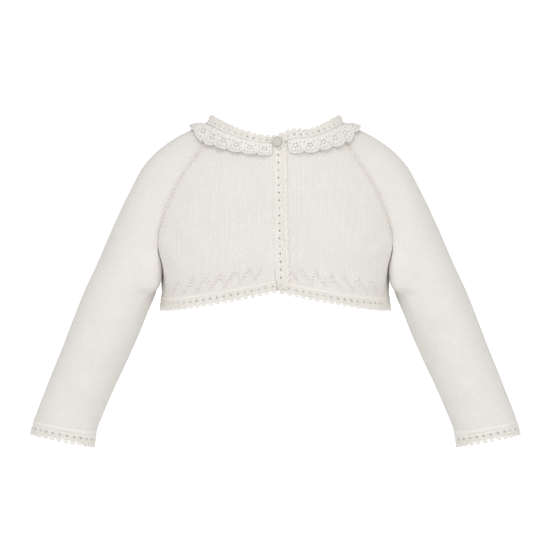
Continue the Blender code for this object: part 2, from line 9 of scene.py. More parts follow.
import bmesh
import bpy
import json
import numpy as np
from mathutils import Matrix, Vector, geometry
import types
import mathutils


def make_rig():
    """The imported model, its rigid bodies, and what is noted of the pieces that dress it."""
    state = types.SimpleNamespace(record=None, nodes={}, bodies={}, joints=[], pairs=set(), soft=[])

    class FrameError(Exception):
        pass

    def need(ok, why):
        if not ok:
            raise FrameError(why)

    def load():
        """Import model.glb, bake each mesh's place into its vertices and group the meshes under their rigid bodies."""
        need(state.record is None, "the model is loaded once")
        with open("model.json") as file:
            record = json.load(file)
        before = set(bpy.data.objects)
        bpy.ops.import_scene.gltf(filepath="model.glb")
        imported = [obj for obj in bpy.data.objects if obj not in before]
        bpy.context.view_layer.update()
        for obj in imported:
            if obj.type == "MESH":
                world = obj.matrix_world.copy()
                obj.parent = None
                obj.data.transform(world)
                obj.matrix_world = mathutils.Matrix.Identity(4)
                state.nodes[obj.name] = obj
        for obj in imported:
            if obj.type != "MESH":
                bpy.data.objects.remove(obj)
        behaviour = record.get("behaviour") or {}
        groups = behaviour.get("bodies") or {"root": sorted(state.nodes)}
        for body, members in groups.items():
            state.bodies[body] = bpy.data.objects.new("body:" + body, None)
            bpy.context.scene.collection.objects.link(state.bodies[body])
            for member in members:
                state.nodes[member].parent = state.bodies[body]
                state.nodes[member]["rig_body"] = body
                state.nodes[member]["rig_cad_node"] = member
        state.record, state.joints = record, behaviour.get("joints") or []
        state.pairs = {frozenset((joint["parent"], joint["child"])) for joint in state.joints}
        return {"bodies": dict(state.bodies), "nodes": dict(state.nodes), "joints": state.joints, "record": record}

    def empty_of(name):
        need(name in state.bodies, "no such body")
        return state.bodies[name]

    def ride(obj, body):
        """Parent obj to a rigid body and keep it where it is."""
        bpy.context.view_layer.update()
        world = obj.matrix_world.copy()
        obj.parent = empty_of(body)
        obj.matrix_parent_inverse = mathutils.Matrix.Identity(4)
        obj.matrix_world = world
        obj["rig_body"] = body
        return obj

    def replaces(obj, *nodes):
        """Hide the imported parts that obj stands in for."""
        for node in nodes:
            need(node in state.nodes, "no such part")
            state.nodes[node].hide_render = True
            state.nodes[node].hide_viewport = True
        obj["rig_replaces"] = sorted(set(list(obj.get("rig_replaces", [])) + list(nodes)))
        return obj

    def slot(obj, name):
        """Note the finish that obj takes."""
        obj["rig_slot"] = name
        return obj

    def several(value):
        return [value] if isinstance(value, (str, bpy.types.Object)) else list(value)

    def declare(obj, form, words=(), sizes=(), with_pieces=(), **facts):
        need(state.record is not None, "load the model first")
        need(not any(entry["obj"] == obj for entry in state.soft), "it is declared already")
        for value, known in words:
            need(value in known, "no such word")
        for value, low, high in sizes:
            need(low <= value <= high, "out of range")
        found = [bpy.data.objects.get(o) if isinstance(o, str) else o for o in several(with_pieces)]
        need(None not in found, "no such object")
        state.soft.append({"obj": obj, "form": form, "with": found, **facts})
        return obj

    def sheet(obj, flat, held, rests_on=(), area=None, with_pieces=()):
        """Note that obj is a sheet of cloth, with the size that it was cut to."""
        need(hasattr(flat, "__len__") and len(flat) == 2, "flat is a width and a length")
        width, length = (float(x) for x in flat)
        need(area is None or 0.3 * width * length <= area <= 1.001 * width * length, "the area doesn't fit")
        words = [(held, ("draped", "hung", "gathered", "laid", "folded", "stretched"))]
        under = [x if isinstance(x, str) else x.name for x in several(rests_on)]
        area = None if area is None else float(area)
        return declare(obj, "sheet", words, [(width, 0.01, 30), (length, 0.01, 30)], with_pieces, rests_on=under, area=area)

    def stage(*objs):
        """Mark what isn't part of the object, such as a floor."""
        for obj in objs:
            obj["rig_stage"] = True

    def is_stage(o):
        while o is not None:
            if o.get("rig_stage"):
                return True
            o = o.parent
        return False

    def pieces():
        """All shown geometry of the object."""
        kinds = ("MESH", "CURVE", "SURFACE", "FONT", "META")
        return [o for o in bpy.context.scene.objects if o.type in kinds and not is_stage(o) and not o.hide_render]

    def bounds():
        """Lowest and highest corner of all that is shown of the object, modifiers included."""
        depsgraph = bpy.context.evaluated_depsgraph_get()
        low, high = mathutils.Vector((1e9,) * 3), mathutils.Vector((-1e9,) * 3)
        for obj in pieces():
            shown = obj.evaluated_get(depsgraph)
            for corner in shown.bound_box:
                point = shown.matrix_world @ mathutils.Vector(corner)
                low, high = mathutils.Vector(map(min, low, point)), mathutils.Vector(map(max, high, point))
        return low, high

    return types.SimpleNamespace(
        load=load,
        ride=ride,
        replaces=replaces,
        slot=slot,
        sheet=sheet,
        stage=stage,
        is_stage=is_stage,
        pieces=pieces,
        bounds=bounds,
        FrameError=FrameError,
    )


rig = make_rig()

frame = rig.load()
cad_box = [list(corner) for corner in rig.bounds()]

MM = 0.001

# Faces that meet at more than this keep a sharp edge
CLOTH_SHARP_FROM, BUTTON_SHARP_FROM = math.radians(58), math.radians(50)

# Gauge of the knit and thickness of each cloth
WALE = 1.95
COURSE = 1.42
KNIT_WALL = 1.6
BAND_WALL = 1.7
LACE_WALL = 0.9
SEAM_GAP = 0.04

# Places down the garment: 0 neck seam, 1 underarm, 2 where hem band and cuffs begin, 3 their free edges
NECK, UNDERARM, EDGING, EDGE = 0.0, 1.0, 2.0, 3.0

# The skin's sections, as the solids have them
TORSO_COLUMNS = ("down", "front_y", "front_z", "back_y", "back_z", "fold_x", "fold_y", "fold_z",
                 "bow", "front_turn", "side_x", "side_turn")
TORSO = (
    (0.0, -45.0, -14.0, 44.0, -11.0, 59.0, 20.0, 3.3, 1.90, 53, 66.0, 90),
    (0.2, -48.5, -33.0, 47.5, -31.0, 71.0, 26.5, -17.0, 1.90, 46, 84.0, 90),
    (0.4, -52.0, -51.0, 50.0, -50.0, 83.5, 31.5, -35.5, 1.90, 38, 105.5, 90),
    (0.6, -54.5, -69.0, 51.5, -68.5, 95.0, 34.0, -55.0, 1.90, 36, 124.0, 90),
    (0.8, -56.0, -87.0, 52.5, -87.0, 104.5, 33.5, -78.0, 1.80, 44, 138.8, 90),
    (1.0, -57.0, -105.0, 53.0, -105.0, 110.0, 30.0, -103.0, 1.40, 58, 109.8, 88),
    (1.5, -58.0, -122.5, 54.0, -122.5, 104.5, 29.5, -131.0, 1.00, 60, 106.2, 76),
    (2.0, -57.5, -140.3, 54.0, -139.6, 99.5, 28.5, -156.8, 0.74, 62, 108.3, 66),
    (3.0, -56.5, -152.7, 53.0, -151.6, 101.0, 28.5, -169.6, 0.74, 62, 109.9, 64),
)
SLEEVE_COLUMNS = ("down", "crown_x", "crown_z", "turn", "seam_x", "seam_z", "depth", "round")
SLEEVE = (
    (0.0, 66.0, 7.0, 53, 59.0, 3.3, 20.0, 0.0),
    (0.2, 84.0, 0.0, 42, 71.0, -17.0, 26.5, 0.0),
    (0.4, 105.5, -13.0, 32, 83.5, -35.5, 31.5, 0.0),
    (0.6, 124.0, -31.0, 22, 95.0, -55.0, 34.0, 0.0),
    (0.8, 138.8, -57.5, 4, 104.5, -78.0, 34.0, 0.0),
    (1.0, 152.0, -85.0, -25, 110.2, -103.0, 34.0, 0.0),
    (1.2, 168.0, -122.0, 0, 111.3, -141.0, 34.5, 0.5),
    (1.4, 184.7, -159.0, 0, 123.7, -178.0, 33.0, 0.9),
    (1.6, 199.3, -197.0, 0, 138.5, -213.0, 30.0, 1.0),
    (1.8, 214.6, -235.0, 0, 155.0, -248.5, 26.0, 1.0),
    (2.0, 229.0, -272.5, 0, 169.5, -283.5, 22.5, 1.0),
    (3.0, 232.0, -285.5, 0, 172.2, -297.5, 22.0, 1.0),
)
BACK_SOFTNESS = 0.25
BACK_REACH = math.hypot(1, BACK_SOFTNESS) - BACK_SOFTNESS
MIDDLE_HANDLE, FOLD_HANDLE, CROWN_HANDLE, SIDE_HANDLE = 0.40, 0.26, 0.42, 0.36
CAP_OVAL_HANDLE = 4 / 3 * math.tan(math.radians(135) / 4)
UNDER_OVAL_HANDLE = 4 / 3 * math.tan(math.radians(45) / 4)

# The neck band, the front opening and the lap of the fronts, as the solids have them
NECK_BAND_NARROWS = (0.925, 0.935)
NECK_BAND_RISE = (8.5, 9.5)
NECK_HALF_WIDTH = 66.0
RIGHT_BAND_TOP_X = (-2.3, 11.1)
RIGHT_BAND_LOW_X = (0.5, 14.4)
LEFT_PANEL_UNDER = 3.5
RIGHT_LIFT, LEFT_LIFT, LAP_REACH = 0.9, -1.4, 26.0
BAND_CORNER_Z, BAND_CORNER_DROP, BAND_CORNER_X, BAND_FOOT_X = -132.0, 16.0, 3.6, 2.7
HEM_RIGHT_END_X, HEM_LEFT_END_X, NECK_BAND_ENDS_X = (-0.1, 2.2), (3.3, 3.3), (1.9, 2.3)
LEFT_NECK_X, LEFT_NECK_SPREAD, LEFT_NECK_RISE, LEFT_BAND_RISE, LEFT_NECK_DOWN = 16.5, 12.0, 3.4, 5.2, 0.25

# Edgings, lace and button, as the solids have them
PICOT_PITCH, FRONT_PICOT_PITCH, PICOT_SHARE = 6.6, 7.0, 0.24
LACE_ENDS_X, LACE_SCALLOPS, LACE_WAVES, LACE_CROWDING = (-2.8, 11.9), 31, 15, 0.17
LACE_WIDTH, LACE_INNER_EDGE, LACE_SCALLOP_DEPTH = (0.117, 0.160), 0.004, 0.22
LACE_WAVE_HEIGHT, LACE_SHOULDER_RISE, LACE_ARCH, LACE_STAND, REST_GAP = 1.8, 2.6, 2.4, 0.8, 0.35
BUTTON_X, BUTTON_Z, BUTTON_RADIUS, BUTTON_THICKNESS, BUTTON_RIM = 1.9, -12.6, 4.6, 2.4, 0.9
LOOP_RADIUS, LOOP_CORD, LOOP_ARC, LOOP_STEPS, LOOP_SIDES, BUTTON_SIDES = 5.6, 0.6, (-95, 158), 96, 10, 48

# Sharp folds of the lace in front: where on the neckline, the way each one falls away, and its height
LACE_FOLDS = ((-43.5, -1, 2.4), (-23.0, 1, 1.5), (-14.0, -1, 1.2), (19.0, 1, 1.1), (36.5, 1, 2.6), (52.0, 1, 1.2))

# Creases: soft troughs (depth below 0) and ridges along a line seen from the front, x to the wearer's left
CREASE_COLUMNS = ("x0", "z0", "x1", "z1", "reach", "depth")
FRONT_CREASES = (
    (-104, -92, -78, -118, 6.0, -1.1),
    (-106, -106, -84, -134, 5.0, 0.7),
    (-70, -52, -62, -120, 9.0, -0.5),
    (-44, -60, -40, -136, 8.0, 0.45),
    (-22, -48, -25, -128, 7.0, -0.45),
    (104, -90, 80, -120, 6.0, -1.2),
    (103, -108, 78, -126, 4.5, 0.8),
    (96, -122, 52, -140, 6.0, -0.7),
    (72, -56, 58, -112, 9.0, 0.6),
    (50, -50, 34, -118, 8.0, -0.6),
    (26, -44, 30, -126, 6.5, 0.5),
)
BACK_CREASES = (
    (-103, -92, -66, -122, 6.5, -1.2),
    (-101, -108, -58, -136, 5.0, 0.7),
    (102, -94, 70, -128, 6.0, -1.1),
    (98, -112, 62, -134, 5.0, 0.8),
    (-40, -44, -30, -126, 10.0, -0.6),
    (4, -36, -4, -132, 9.0, 0.5),
    (38, -50, 30, -118, 9.0, -0.6),
)
SLEEVE_CREASES = (
    (108, -112, 142, -126, 5.0, -1.0),
    (112, -128, 150, -150, 5.5, 0.8),
    (118, -152, 158, -166, 5.0, -0.8),
    (176, -150, 150, -176, 7.0, 0.6),
    (134, -186, 176, -194, 6.0, -0.7),
    (192, -190, 160, -212, 6.5, 0.7),
    (152, -222, 190, -236, 5.0, -0.7),
    (206, -226, 176, -250, 6.0, 0.6),
    (168, -258, 204, -266, 4.5, -0.6),
    (112, -34, 118, -84, 9.0, -0.5),
)
SLEEVE_BACK_CREASES = (
    (110, -108, 148, -116, 5.5, -1.1),
    (114, -130, 156, -138, 5.0, 0.8),
    (124, -162, 168, -160, 6.0, -0.9),
    (138, -190, 184, -182, 6.5, 0.8),
    (146, -206, 190, -204, 5.0, -0.8),
    (160, -240, 204, -238, 5.5, 0.6),
    (170, -262, 210, -256, 5.0, -0.6),
)

# Under the arm the sleeve's inner side swells towards the body: how much at each height, and where
ARMPIT_HEIGHTS = (-154, -147, -141, -136, -131, -124, -118, -112, -105)
ARMPIT_SWELL = (0.0, 5.8, 6.5, 6.2, 5.8, 4.6, 3.2, 1.5, 0.1)
ARMPIT_Y, ARMPIT_REACH, ARMPIT_OUTER_X, ARMPIT_OUTER_REACH = -23.0, 13.0, 135.0, 12.0
BACK_SWELL_Y, BACK_SWELL_REACH, BACK_SWELL_SHARE, BACK_SWELL_FROM_X = 12.0, 9.0, 0.42, 60


def read(rows, columns, name, down):
    """One column of a table at places between its rows, on the smooth curve that the solids use."""
    places, values = (np.array([row[columns.index(column)] for row in rows], float) for column in ("down", name))
    slope = np.diff(values) / np.diff(places)
    tangent = np.zeros(len(rows))
    tangent[0], tangent[-1] = slope[0], slope[-1]
    for i in range(1, len(rows) - 1):
        if slope[i - 1] * slope[i] > 0:
            tangent[i] = 2 * slope[i - 1] * slope[i] / (slope[i - 1] + slope[i])
    down = np.asarray(down, float)
    span = np.clip(np.searchsorted(places, down, side="left") - 1, 0, len(rows) - 2)
    width = places[span + 1] - places[span]
    t = (down - places[span]) / width
    return ((2 * t**3 - 3 * t**2 + 1) * values[span] + (t**3 - 2 * t**2 + t) * tangent[span] * width
            + (3 * t**2 - 2 * t**3) * values[span + 1] + (t**3 - t**2) * tangent[span + 1] * width)


def torso(name, down):
    return read(TORSO, TORSO_COLUMNS, name, down)


def sleeve(name, down):
    return read(SLEEVE, SLEEVE_COLUMNS, name, down)


def pair(x, y):
    x, y = np.broadcast_arrays(np.asarray(x, float), np.asarray(y, float))
    return np.stack([x, y], axis=-1)


def triple(x, y, z):
    return np.stack(np.broadcast_arrays(x, y, z), axis=-1)


def heading(degrees):
    turn = np.radians(degrees)
    return pair(np.cos(turn), np.sin(turn))


def length_of(vectors):
    return np.linalg.norm(vectors, axis=-1, keepdims=True)


def unit(vectors):
    return vectors / np.maximum(length_of(vectors), 1e-9)


def bezier(a, b, c, d, t):
    t = np.asarray(t, float)[..., None]
    s = 1 - t
    return s**3 * a + 3 * s**2 * t * b + 3 * s * t**2 * c + t**3 * d


def soft_step(share):
    share = np.clip(share, 0.0, 1.0)
    return share * share * (3 - 2 * share)


def between(ends, share):
    return ends[0] + (ends[1] - ends[0]) * share


def bell(distance, reach):
    """1 in the middle, fading to nothing a little past its reach."""
    return np.exp(-(distance / reach)**2)


def lengths_along(line):
    """How far along a line of points each of them is."""
    return np.concatenate([[0], np.cumsum(np.linalg.norm(np.diff(line, axis=0), axis=1))])


def circle(count, start=0.0):
    """Cosines and sines of even turns round a circle."""
    turns = [2 * math.pi * (k + start) / count for k in range(count)]
    return [(math.cos(turn), math.sin(turn)) for turn in turns]


def in_scene(name, data):
    thing = bpy.data.objects.new(name, data)
    bpy.context.scene.collection.objects.link(thing)
    return thing


def smooth_mesh(name, verts, faces, *finishes):
    mesh = bpy.data.meshes.new(name)
    mesh.from_pydata(verts, [], faces)
    for finish in finishes:
        mesh.materials.append(finish)
    mesh.shade_smooth()
    return mesh


def climb(share, bow):
    share = np.clip(share, 0.0, 1.0)
    late = share**np.maximum(bow, 1.0)
    early = 1 - (1 - share)**(1 / np.minimum(bow, 1.0))
    return np.where(bow >= 1, late, early)


def crown_curve(down):
    """Plan of the sleeve's outer half-section, from the fold in front to the crown."""
    fold = pair(torso("fold_x", down), -torso("fold_y", down))
    crown = pair(sleeve("crown_x", down), 0.0)
    reach = length_of(crown - fold) * CROWN_HANDLE
    return fold, fold + heading(sleeve("turn", down)) * reach, crown - reach * np.array([0.0, 1.0]), crown


def body_plan(across, down, middle_y):
    """Plan of the torso on its +X side: 0 in the middle, 1 at the fold, 2 at the side, front half."""
    fold = pair(torso("fold_x", down), -torso("fold_y", down))
    middle = pair(0.0, -np.abs(middle_y))
    chord = length_of(fold - middle)
    first = bezier(middle, middle + chord * MIDDLE_HANDLE * np.array([1.0, 0.0]),
                   fold - heading(torso("front_turn", down)) * chord * FOLD_HANDLE, fold,
                   np.clip(across, 0, 1))
    side = pair(torso("side_x", down), 0.0)
    reach = length_of(side - fold) * SIDE_HANDLE
    second = bezier(fold, fold + heading(torso("side_turn", down)) * reach,
                    side - reach * np.array([0.0, 1.0]), side, np.clip(across - 1, 0, 1))
    return np.where((across <= 1)[..., None], first, second)


def sleeve_plan(turn, down):
    """Plan of the sleeve on its +X side: 0 at the crown, 1 at the fold, 2 at its seam, front half."""
    fold, fold_way, crown_way, crown = crown_curve(down)
    cap = bezier(crown, crown_way, fold_way, fold, np.clip(turn, 0, 1))
    centre = (sleeve("crown_x", down) + sleeve("seam_x", down)) / 2
    width = (sleeve("crown_x", down) - sleeve("seam_x", down)) / 2
    depth, roundness = sleeve("depth", down), sleeve("round", down)[..., None]
    top_centre = (sleeve("crown_x", UNDERARM) + sleeve("seam_x", UNDERARM)) / 2
    top_size = np.array([sleeve("crown_x", UNDERARM) - top_centre, sleeve("depth", UNDERARM)])
    flat = [(p - np.array([top_centre, 0.0])) / top_size for p in crown_curve(UNDERARM)]
    half = math.sqrt(0.5)
    corner, oval_corner, tangent = flat[0], np.array([-half, -half]), np.array([half, -half])
    cap_flat = list(reversed(flat))
    cap_oval = [np.array([1.0, 0.0]), np.array([1.0, -CAP_OVAL_HANDLE]),
                oval_corner + tangent * CAP_OVAL_HANDLE, oval_corner]
    under_flat = [corner, np.array([-1, corner[1] * 2 / 3]), np.array([-1, corner[1] / 3]),
                  np.array([-1.0, 0.0])]
    under_oval = [oval_corner, oval_corner - tangent * UNDER_OVAL_HANDLE,
                  np.array([-1.0, -UNDER_OVAL_HANDLE]), np.array([-1.0, 0.0])]
    outer = bezier(*[f + (o - f) * roundness for f, o in zip(cap_flat, cap_oval)], np.clip(turn, 0, 1))
    inner = bezier(*[f + (o - f) * roundness for f, o in zip(under_flat, under_oval)],
                   np.clip(turn - 1, 0, 1))
    local = np.where((turn <= 1)[..., None], outer, inner)
    tube = pair(centre + local[..., 0] * width, local[..., 1] * depth)
    on_cap = (turn <= 1) & (down <= UNDERARM)
    return np.where(on_cap[..., None], cap, tube)


def sleeve_skin(side, turn, down):
    """A sleeve's skin: turn 0 at the crown, -1 and 1 at the front and back folds, 2 at its seam."""
    turn, down = np.broadcast_arrays(np.asarray(turn, float), np.asarray(down, float))
    plan = sleeve_plan(np.abs(turn), down)
    yoke = down <= UNDERARM
    inner_x = np.where(yoke, torso("fold_x", down), sleeve("seam_x", down))
    inner_z = np.where(yoke, torso("fold_z", down), sleeve("seam_z", down))
    crown_x, crown_z = sleeve("crown_x", down), sleeve("crown_z", down)
    z = inner_z + (crown_z - inner_z) * (plan[..., 0] - inner_x) / (crown_x - inner_x)
    return triple(plan[..., 0] * side, np.where(turn > 0, -plan[..., 1], plan[..., 1]), z)


def ring(around, down):
    """The skin as one ring: 0 middle front, 2 wearer's right side, 4 middle back, 6 left side."""
    around, down = np.broadcast_arrays(np.mod(around, 8.0), np.asarray(down, float))
    back = (around > 2) & (around <= 6)
    across = np.where(around <= 2, -around, np.where(back, around - 4, 8 - around))
    side = np.where(across < 0, -1.0, 1.0)
    away = np.abs(across)
    plan = body_plan(away, down, np.where(back, torso("back_y", down), torso("front_y", down)))
    middle_z = np.where(back, torso("back_z", down), torso("front_z", down))
    share = np.where(away < 1, plan[..., 0] / torso("fold_x", down), 1.0)
    share = np.where(back, (np.hypot(share, BACK_SOFTNESS) - BACK_SOFTNESS) / BACK_REACH, share)
    z = middle_z + (torso("fold_z", down) - middle_z) * climb(share, torso("bow", down))
    body = triple(plan[..., 0] * side, np.where(back, -plan[..., 1], plan[..., 1]), z)
    shoulder = sleeve_skin(side, (away - 2) * np.where(back, -1.0, 1.0), down)
    over = (away > 1) & (down < UNDERARM)
    return np.where(over[..., None], shoulder, body)


def around_at(x, down):
    """Where the front's ring crosses a given x."""
    x, down = np.broadcast_arrays(np.asarray(x, float), np.asarray(down, float))
    low, high = np.full(x.shape, -1.0), np.full(x.shape, 1.0)
    for _ in range(34):
        middle = (low + high) / 2
        short = ring(-middle, down)[..., 0] < x
        low, high = np.where(short, middle, low), np.where(short, high, middle)
    return -(low + high) / 2


def down_at(z):
    """Where the middle of the front reaches a given height."""
    places = np.linspace(NECK, EDGE, 1201)
    return np.interp(-np.asarray(z, float), -torso("front_z", places), places)


def facing(points):
    """Outward directions of a grid of skin points, whose columns run clockwise and whose rows run down."""
    along = np.gradient(points, axis=1)
    downwards = np.gradient(points, axis=0)
    return unit(np.cross(along, downwards))


def right_band_x(down, share):
    return between(RIGHT_BAND_TOP_X, share) + (between(RIGHT_BAND_LOW_X, share)
                                               - between(RIGHT_BAND_TOP_X, share)) * down / EDGING


def lap(distance, lift):
    return lift * (1 - soft_step(distance / LAP_REACH))


def left_neck(around, x):
    """Where the left front's neckline is drawn up, from 0 to 1."""
    return np.where(np.mod(around, 8.0) > 6, bell(x - LEFT_NECK_X, LEFT_NECK_SPREAD), 0.0)


def drawn_up(around, down, points):
    up = unit(points - ring(around, down + 0.002))
    rise = LEFT_NECK_RISE * left_neck(around, points[..., 0]) * (1 - soft_step(down / LEFT_NECK_DOWN))
    return up * rise[..., None]


def lapped(around, down, points, normals):
    """Moves a grid of skin points by the lap of the fronts and the drawn-up neckline."""
    turn = np.mod(around, 8.0)
    x = points[..., 0]
    lift = np.where(turn < 2, lap(np.abs(x - right_band_x(down, 0)), RIGHT_LIFT), 0.0)
    lift = np.where(turn > 6, lap(np.abs(x - right_band_x(down, 1) + LEFT_PANEL_UNDER), LEFT_LIFT), lift)
    return points + normals * lift[..., None] + drawn_up(around, down, points)


def crease_relief(creases, x, z, mirror=1.0):
    """Height of the hand-placed creases at points seen from the front."""
    height = np.zeros(np.shape(x))
    for row in creases:
        crease = dict(zip(CREASE_COLUMNS, row))
        start = np.array([crease["x0"] * mirror, crease["z0"]])
        run = np.array([crease["x1"] * mirror, crease["z1"]]) - start
        along = ((x - start[0]) * run[0] + (z - start[1]) * run[1]) / (run @ run)
        held = np.clip(along, 0, 1)
        off = np.hypot(x - start[0] - run[0] * held, z - start[1] - run[1] * held)
        taper = 0.35 + 0.65 * np.sin(math.pi * np.clip(held, 0.02, 0.98))**0.7
        height += crease["depth"] * taper * bell(off, crease["reach"])
    return height


def armpit_swell(x, y, z):
    swell = np.interp(z, ARMPIT_HEIGHTS, ARMPIT_SWELL) * bell(y - ARMPIT_Y, ARMPIT_REACH)
    return swell * soft_step((ARMPIT_OUTER_X - x) / ARMPIT_OUTER_REACH)


def back_swell(x, y, z):
    swell = BACK_SWELL_SHARE * np.interp(z, ARMPIT_HEIGHTS, ARMPIT_SWELL)
    return swell * bell(y - BACK_SWELL_Y, BACK_SWELL_REACH) * (np.abs(x) > BACK_SWELL_FROM_X)


# How finely the pieces are meshed, in rows down the garment and in parts of a wale
YOKE_PLACES = np.linspace(NECK, UNDERARM, 54)
BODY_PLACES = np.concatenate([np.linspace(UNDERARM, 1.5, 12)[:-1], np.linspace(1.5, EDGING, 19)])
SLEEVE_PLACES = np.linspace(UNDERARM, EDGING, 92)
BODY_STEP = WALE / 4
SLEEVE_STEP = WALE / 3
LINE_SAMPLES = 261
WAIST = len(YOKE_PLACES) - 1

# Relief higher than this is a fold and shows on the inside too. Far up is out of the zigzag's reach
FOLD_FROM, FAR_UP = 0.35, 1000.0


class Cloth:
    """A wall of cloth in the making: outer and inner points, painted shade, faces, each corner's place in stitches."""

    def __init__(self):
        self.outer, self.inner, self.hollow, self.faces, self.corners = [], [], [], [], []

    def build(self, name, face_finish, inside_finish):
        outer = np.asarray(self.outer) * MM
        inner = np.asarray(self.inner) * MM
        count = len(outer)
        sides = dict.fromkeys(side for face in self.faces for side in zip(face, face[1:] + face[:1]))
        rim = [(a, b) for a, b in sides if (b, a) not in sides]
        faces = [tuple(face) for face in self.faces]
        faces += [tuple(i + count for i in reversed(face)) for face in self.faces]
        faces += [(b, a, a + count, b + count) for a, b in rim]
        mesh = smooth_mesh(name, np.concatenate([outer, inner]).tolist(), faces, face_finish, inside_finish)
        places = [tuple(place) for way in (1, -1) for corner in self.corners for place in corner[::way]]
        spot = {}
        for face, corner in zip(self.faces, self.corners):
            for vertex, place in zip(face, corner):
                spot.setdefault(vertex, tuple(place))
        for a, b in rim:
            places += [spot[b], spot[a], spot[a], spot[b]]
        layer = mesh.uv_layers.new(name="stitches")
        layer.uv.foreach_set("vector", np.asarray(places, np.float32).ravel())
        # Painted shade, kept as a mesh attribute: the outer wall gets it, the inner wall none
        dip = mesh.attributes.new("hollow", "FLOAT", "POINT")
        hollow = np.asarray(self.hollow, np.float32)
        dip.data.foreach_set("value", np.concatenate([hollow, hollow * 0]))
        inside = np.zeros(len(faces), np.int32)
        inside[len(self.faces):2 * len(self.faces)] = 1
        mesh.polygons.foreach_set("material_index", inside)
        mesh.set_sharp_from_angle(angle=CLOTH_SHARP_FROM)
        mesh.validate()
        return in_scene(name, mesh)


class Panel:
    """A knitted piece's skin: a line of points for each row, and how far along the row each one lies.

    spans says from where to where a row is cut, and on the row where the piece widens, WAIST, also the two ends
    of the narrower part above. relief gives the height of its knit, seams and creases and their painted shade.
    """

    def __init__(self, points, reach, spans, mirrored=False):
        self.points, self.reach, self.spans, self.mirrored = points, reach, spans, mirrored

    def line(self, j, s):
        return np.stack([np.interp(s, self.reach[j], self.points[j][:, axis]) for axis in range(3)], axis=-1)

    def column(self, distances, first=0):
        """A line of points down the panel, at one distance along each row from the first on."""
        return np.array([self.line(first + j, np.array([s]))[0] for j, s in enumerate(distances)])

    def at(self, row_of, s):
        """The skin at any rows and distances along them."""
        row_of = np.clip(row_of, 0, len(self.points) - 1)
        below = np.minimum(np.floor(row_of).astype(int) + 1, len(self.points) - 1)
        pairs = [(self.line(j - 1, s[below == j]), self.line(j, s[below == j])) for j in np.unique(below)]
        place = np.zeros((len(s), 3))
        for j, (upper, lower) in zip(np.unique(below), pairs):
            share = (row_of[below == j] - (j - 1))[:, None]
            place[below == j] = upper + (lower - upper) * share
        return place

    def end(self, which, row_of):
        ends = np.array([span[which] for span in self.spans])
        return np.interp(row_of, np.arange(len(ends)), ends)

    def stitch(self, row_of, s, proud, size=1.0, swing=0.0):
        """Where a stitch sits on the knit, which way it runs and faces, and its size."""
        row_of, s = np.asarray(row_of, float), np.asarray(s, float)
        place = self.at(row_of, s)
        run = unit(self.at(row_of, s + 0.6) - self.at(row_of, s - 0.6))
        way = unit(np.cross(run, self.at(row_of + 0.45, s) - self.at(row_of - 0.45, s)))
        way = way * (-1 if self.mirrored else 1)
        raised, _ = self.relief(place, row_of, s, self.end(0, row_of), self.end(1, row_of))
        turn = (np.radians(swing) * np.ones(s.shape))[:, None]
        run = run * np.cos(turn) + np.cross(way, run) * np.sin(turn)
        return place + way * (raised + proud)[:, None], run, way, np.ones(s.shape) * size

    def rise(self, row_of, s):
        """How far places on the body are above its lower edge."""
        samples = np.linspace(min(span[0] for span in self.spans), max(span[1] for span in self.spans), 90)
        body = range(WAIST, len(self.points))
        lines = np.array([self.line(j, samples) for j in body])
        steps = np.linalg.norm(np.diff(lines, axis=0), axis=2)
        above = np.concatenate([np.cumsum(steps[::-1], axis=0)[::-1], np.zeros((1, len(samples)))])
        place = np.clip(row_of - WAIST, 0, len(above) - 1)
        upper = np.minimum(place.astype(int), len(above) - 2)
        share = place - upper
        found = np.zeros(len(s))
        for j in np.unique(upper):
            here = upper == j
            found[here] = ((1 - share[here]) * np.interp(s[here], samples, above[j])
                           + share[here] * np.interp(s[here], samples, above[j + 1]))
        return np.where(row_of < WAIST, FAR_UP, found)

    def cut(self):
        """Width, length and area of the piece laid flat, in metres."""
        widths = np.array([high - low for low, high, _ in self.spans])
        middle = self.column((low + high) / 2 for low, high, _ in self.spans)
        drops = []
        for j in range(len(self.spans) - 1):
            low, high = (pick(self.spans[j][end], self.spans[j + 1][end]) for pick, end in ((max, 0), (min, 1)))
            s = np.linspace(low, high, 12)
            drops.append(float(np.linalg.norm(self.line(j + 1, s) - self.line(j, s), axis=1).mean()))
        widths[WAIST - 1] = min(widths[WAIST - 1], widths[WAIST])
        area = sum((a + b) / 2 * drop for a, b, drop in zip(widths, widths[1:], drops))
        return widths.max() * MM, max(sum(drops), lengths_along(middle)[-1]) * MM, area * MM * MM

    def rows_along(self, line, pitch):
        """Rows at which a line of points down the panel has gone each further pitch."""
        lengths = lengths_along(line)
        return np.interp(np.arange(pitch / 2, lengths[-1], pitch), lengths, np.arange(len(line)))


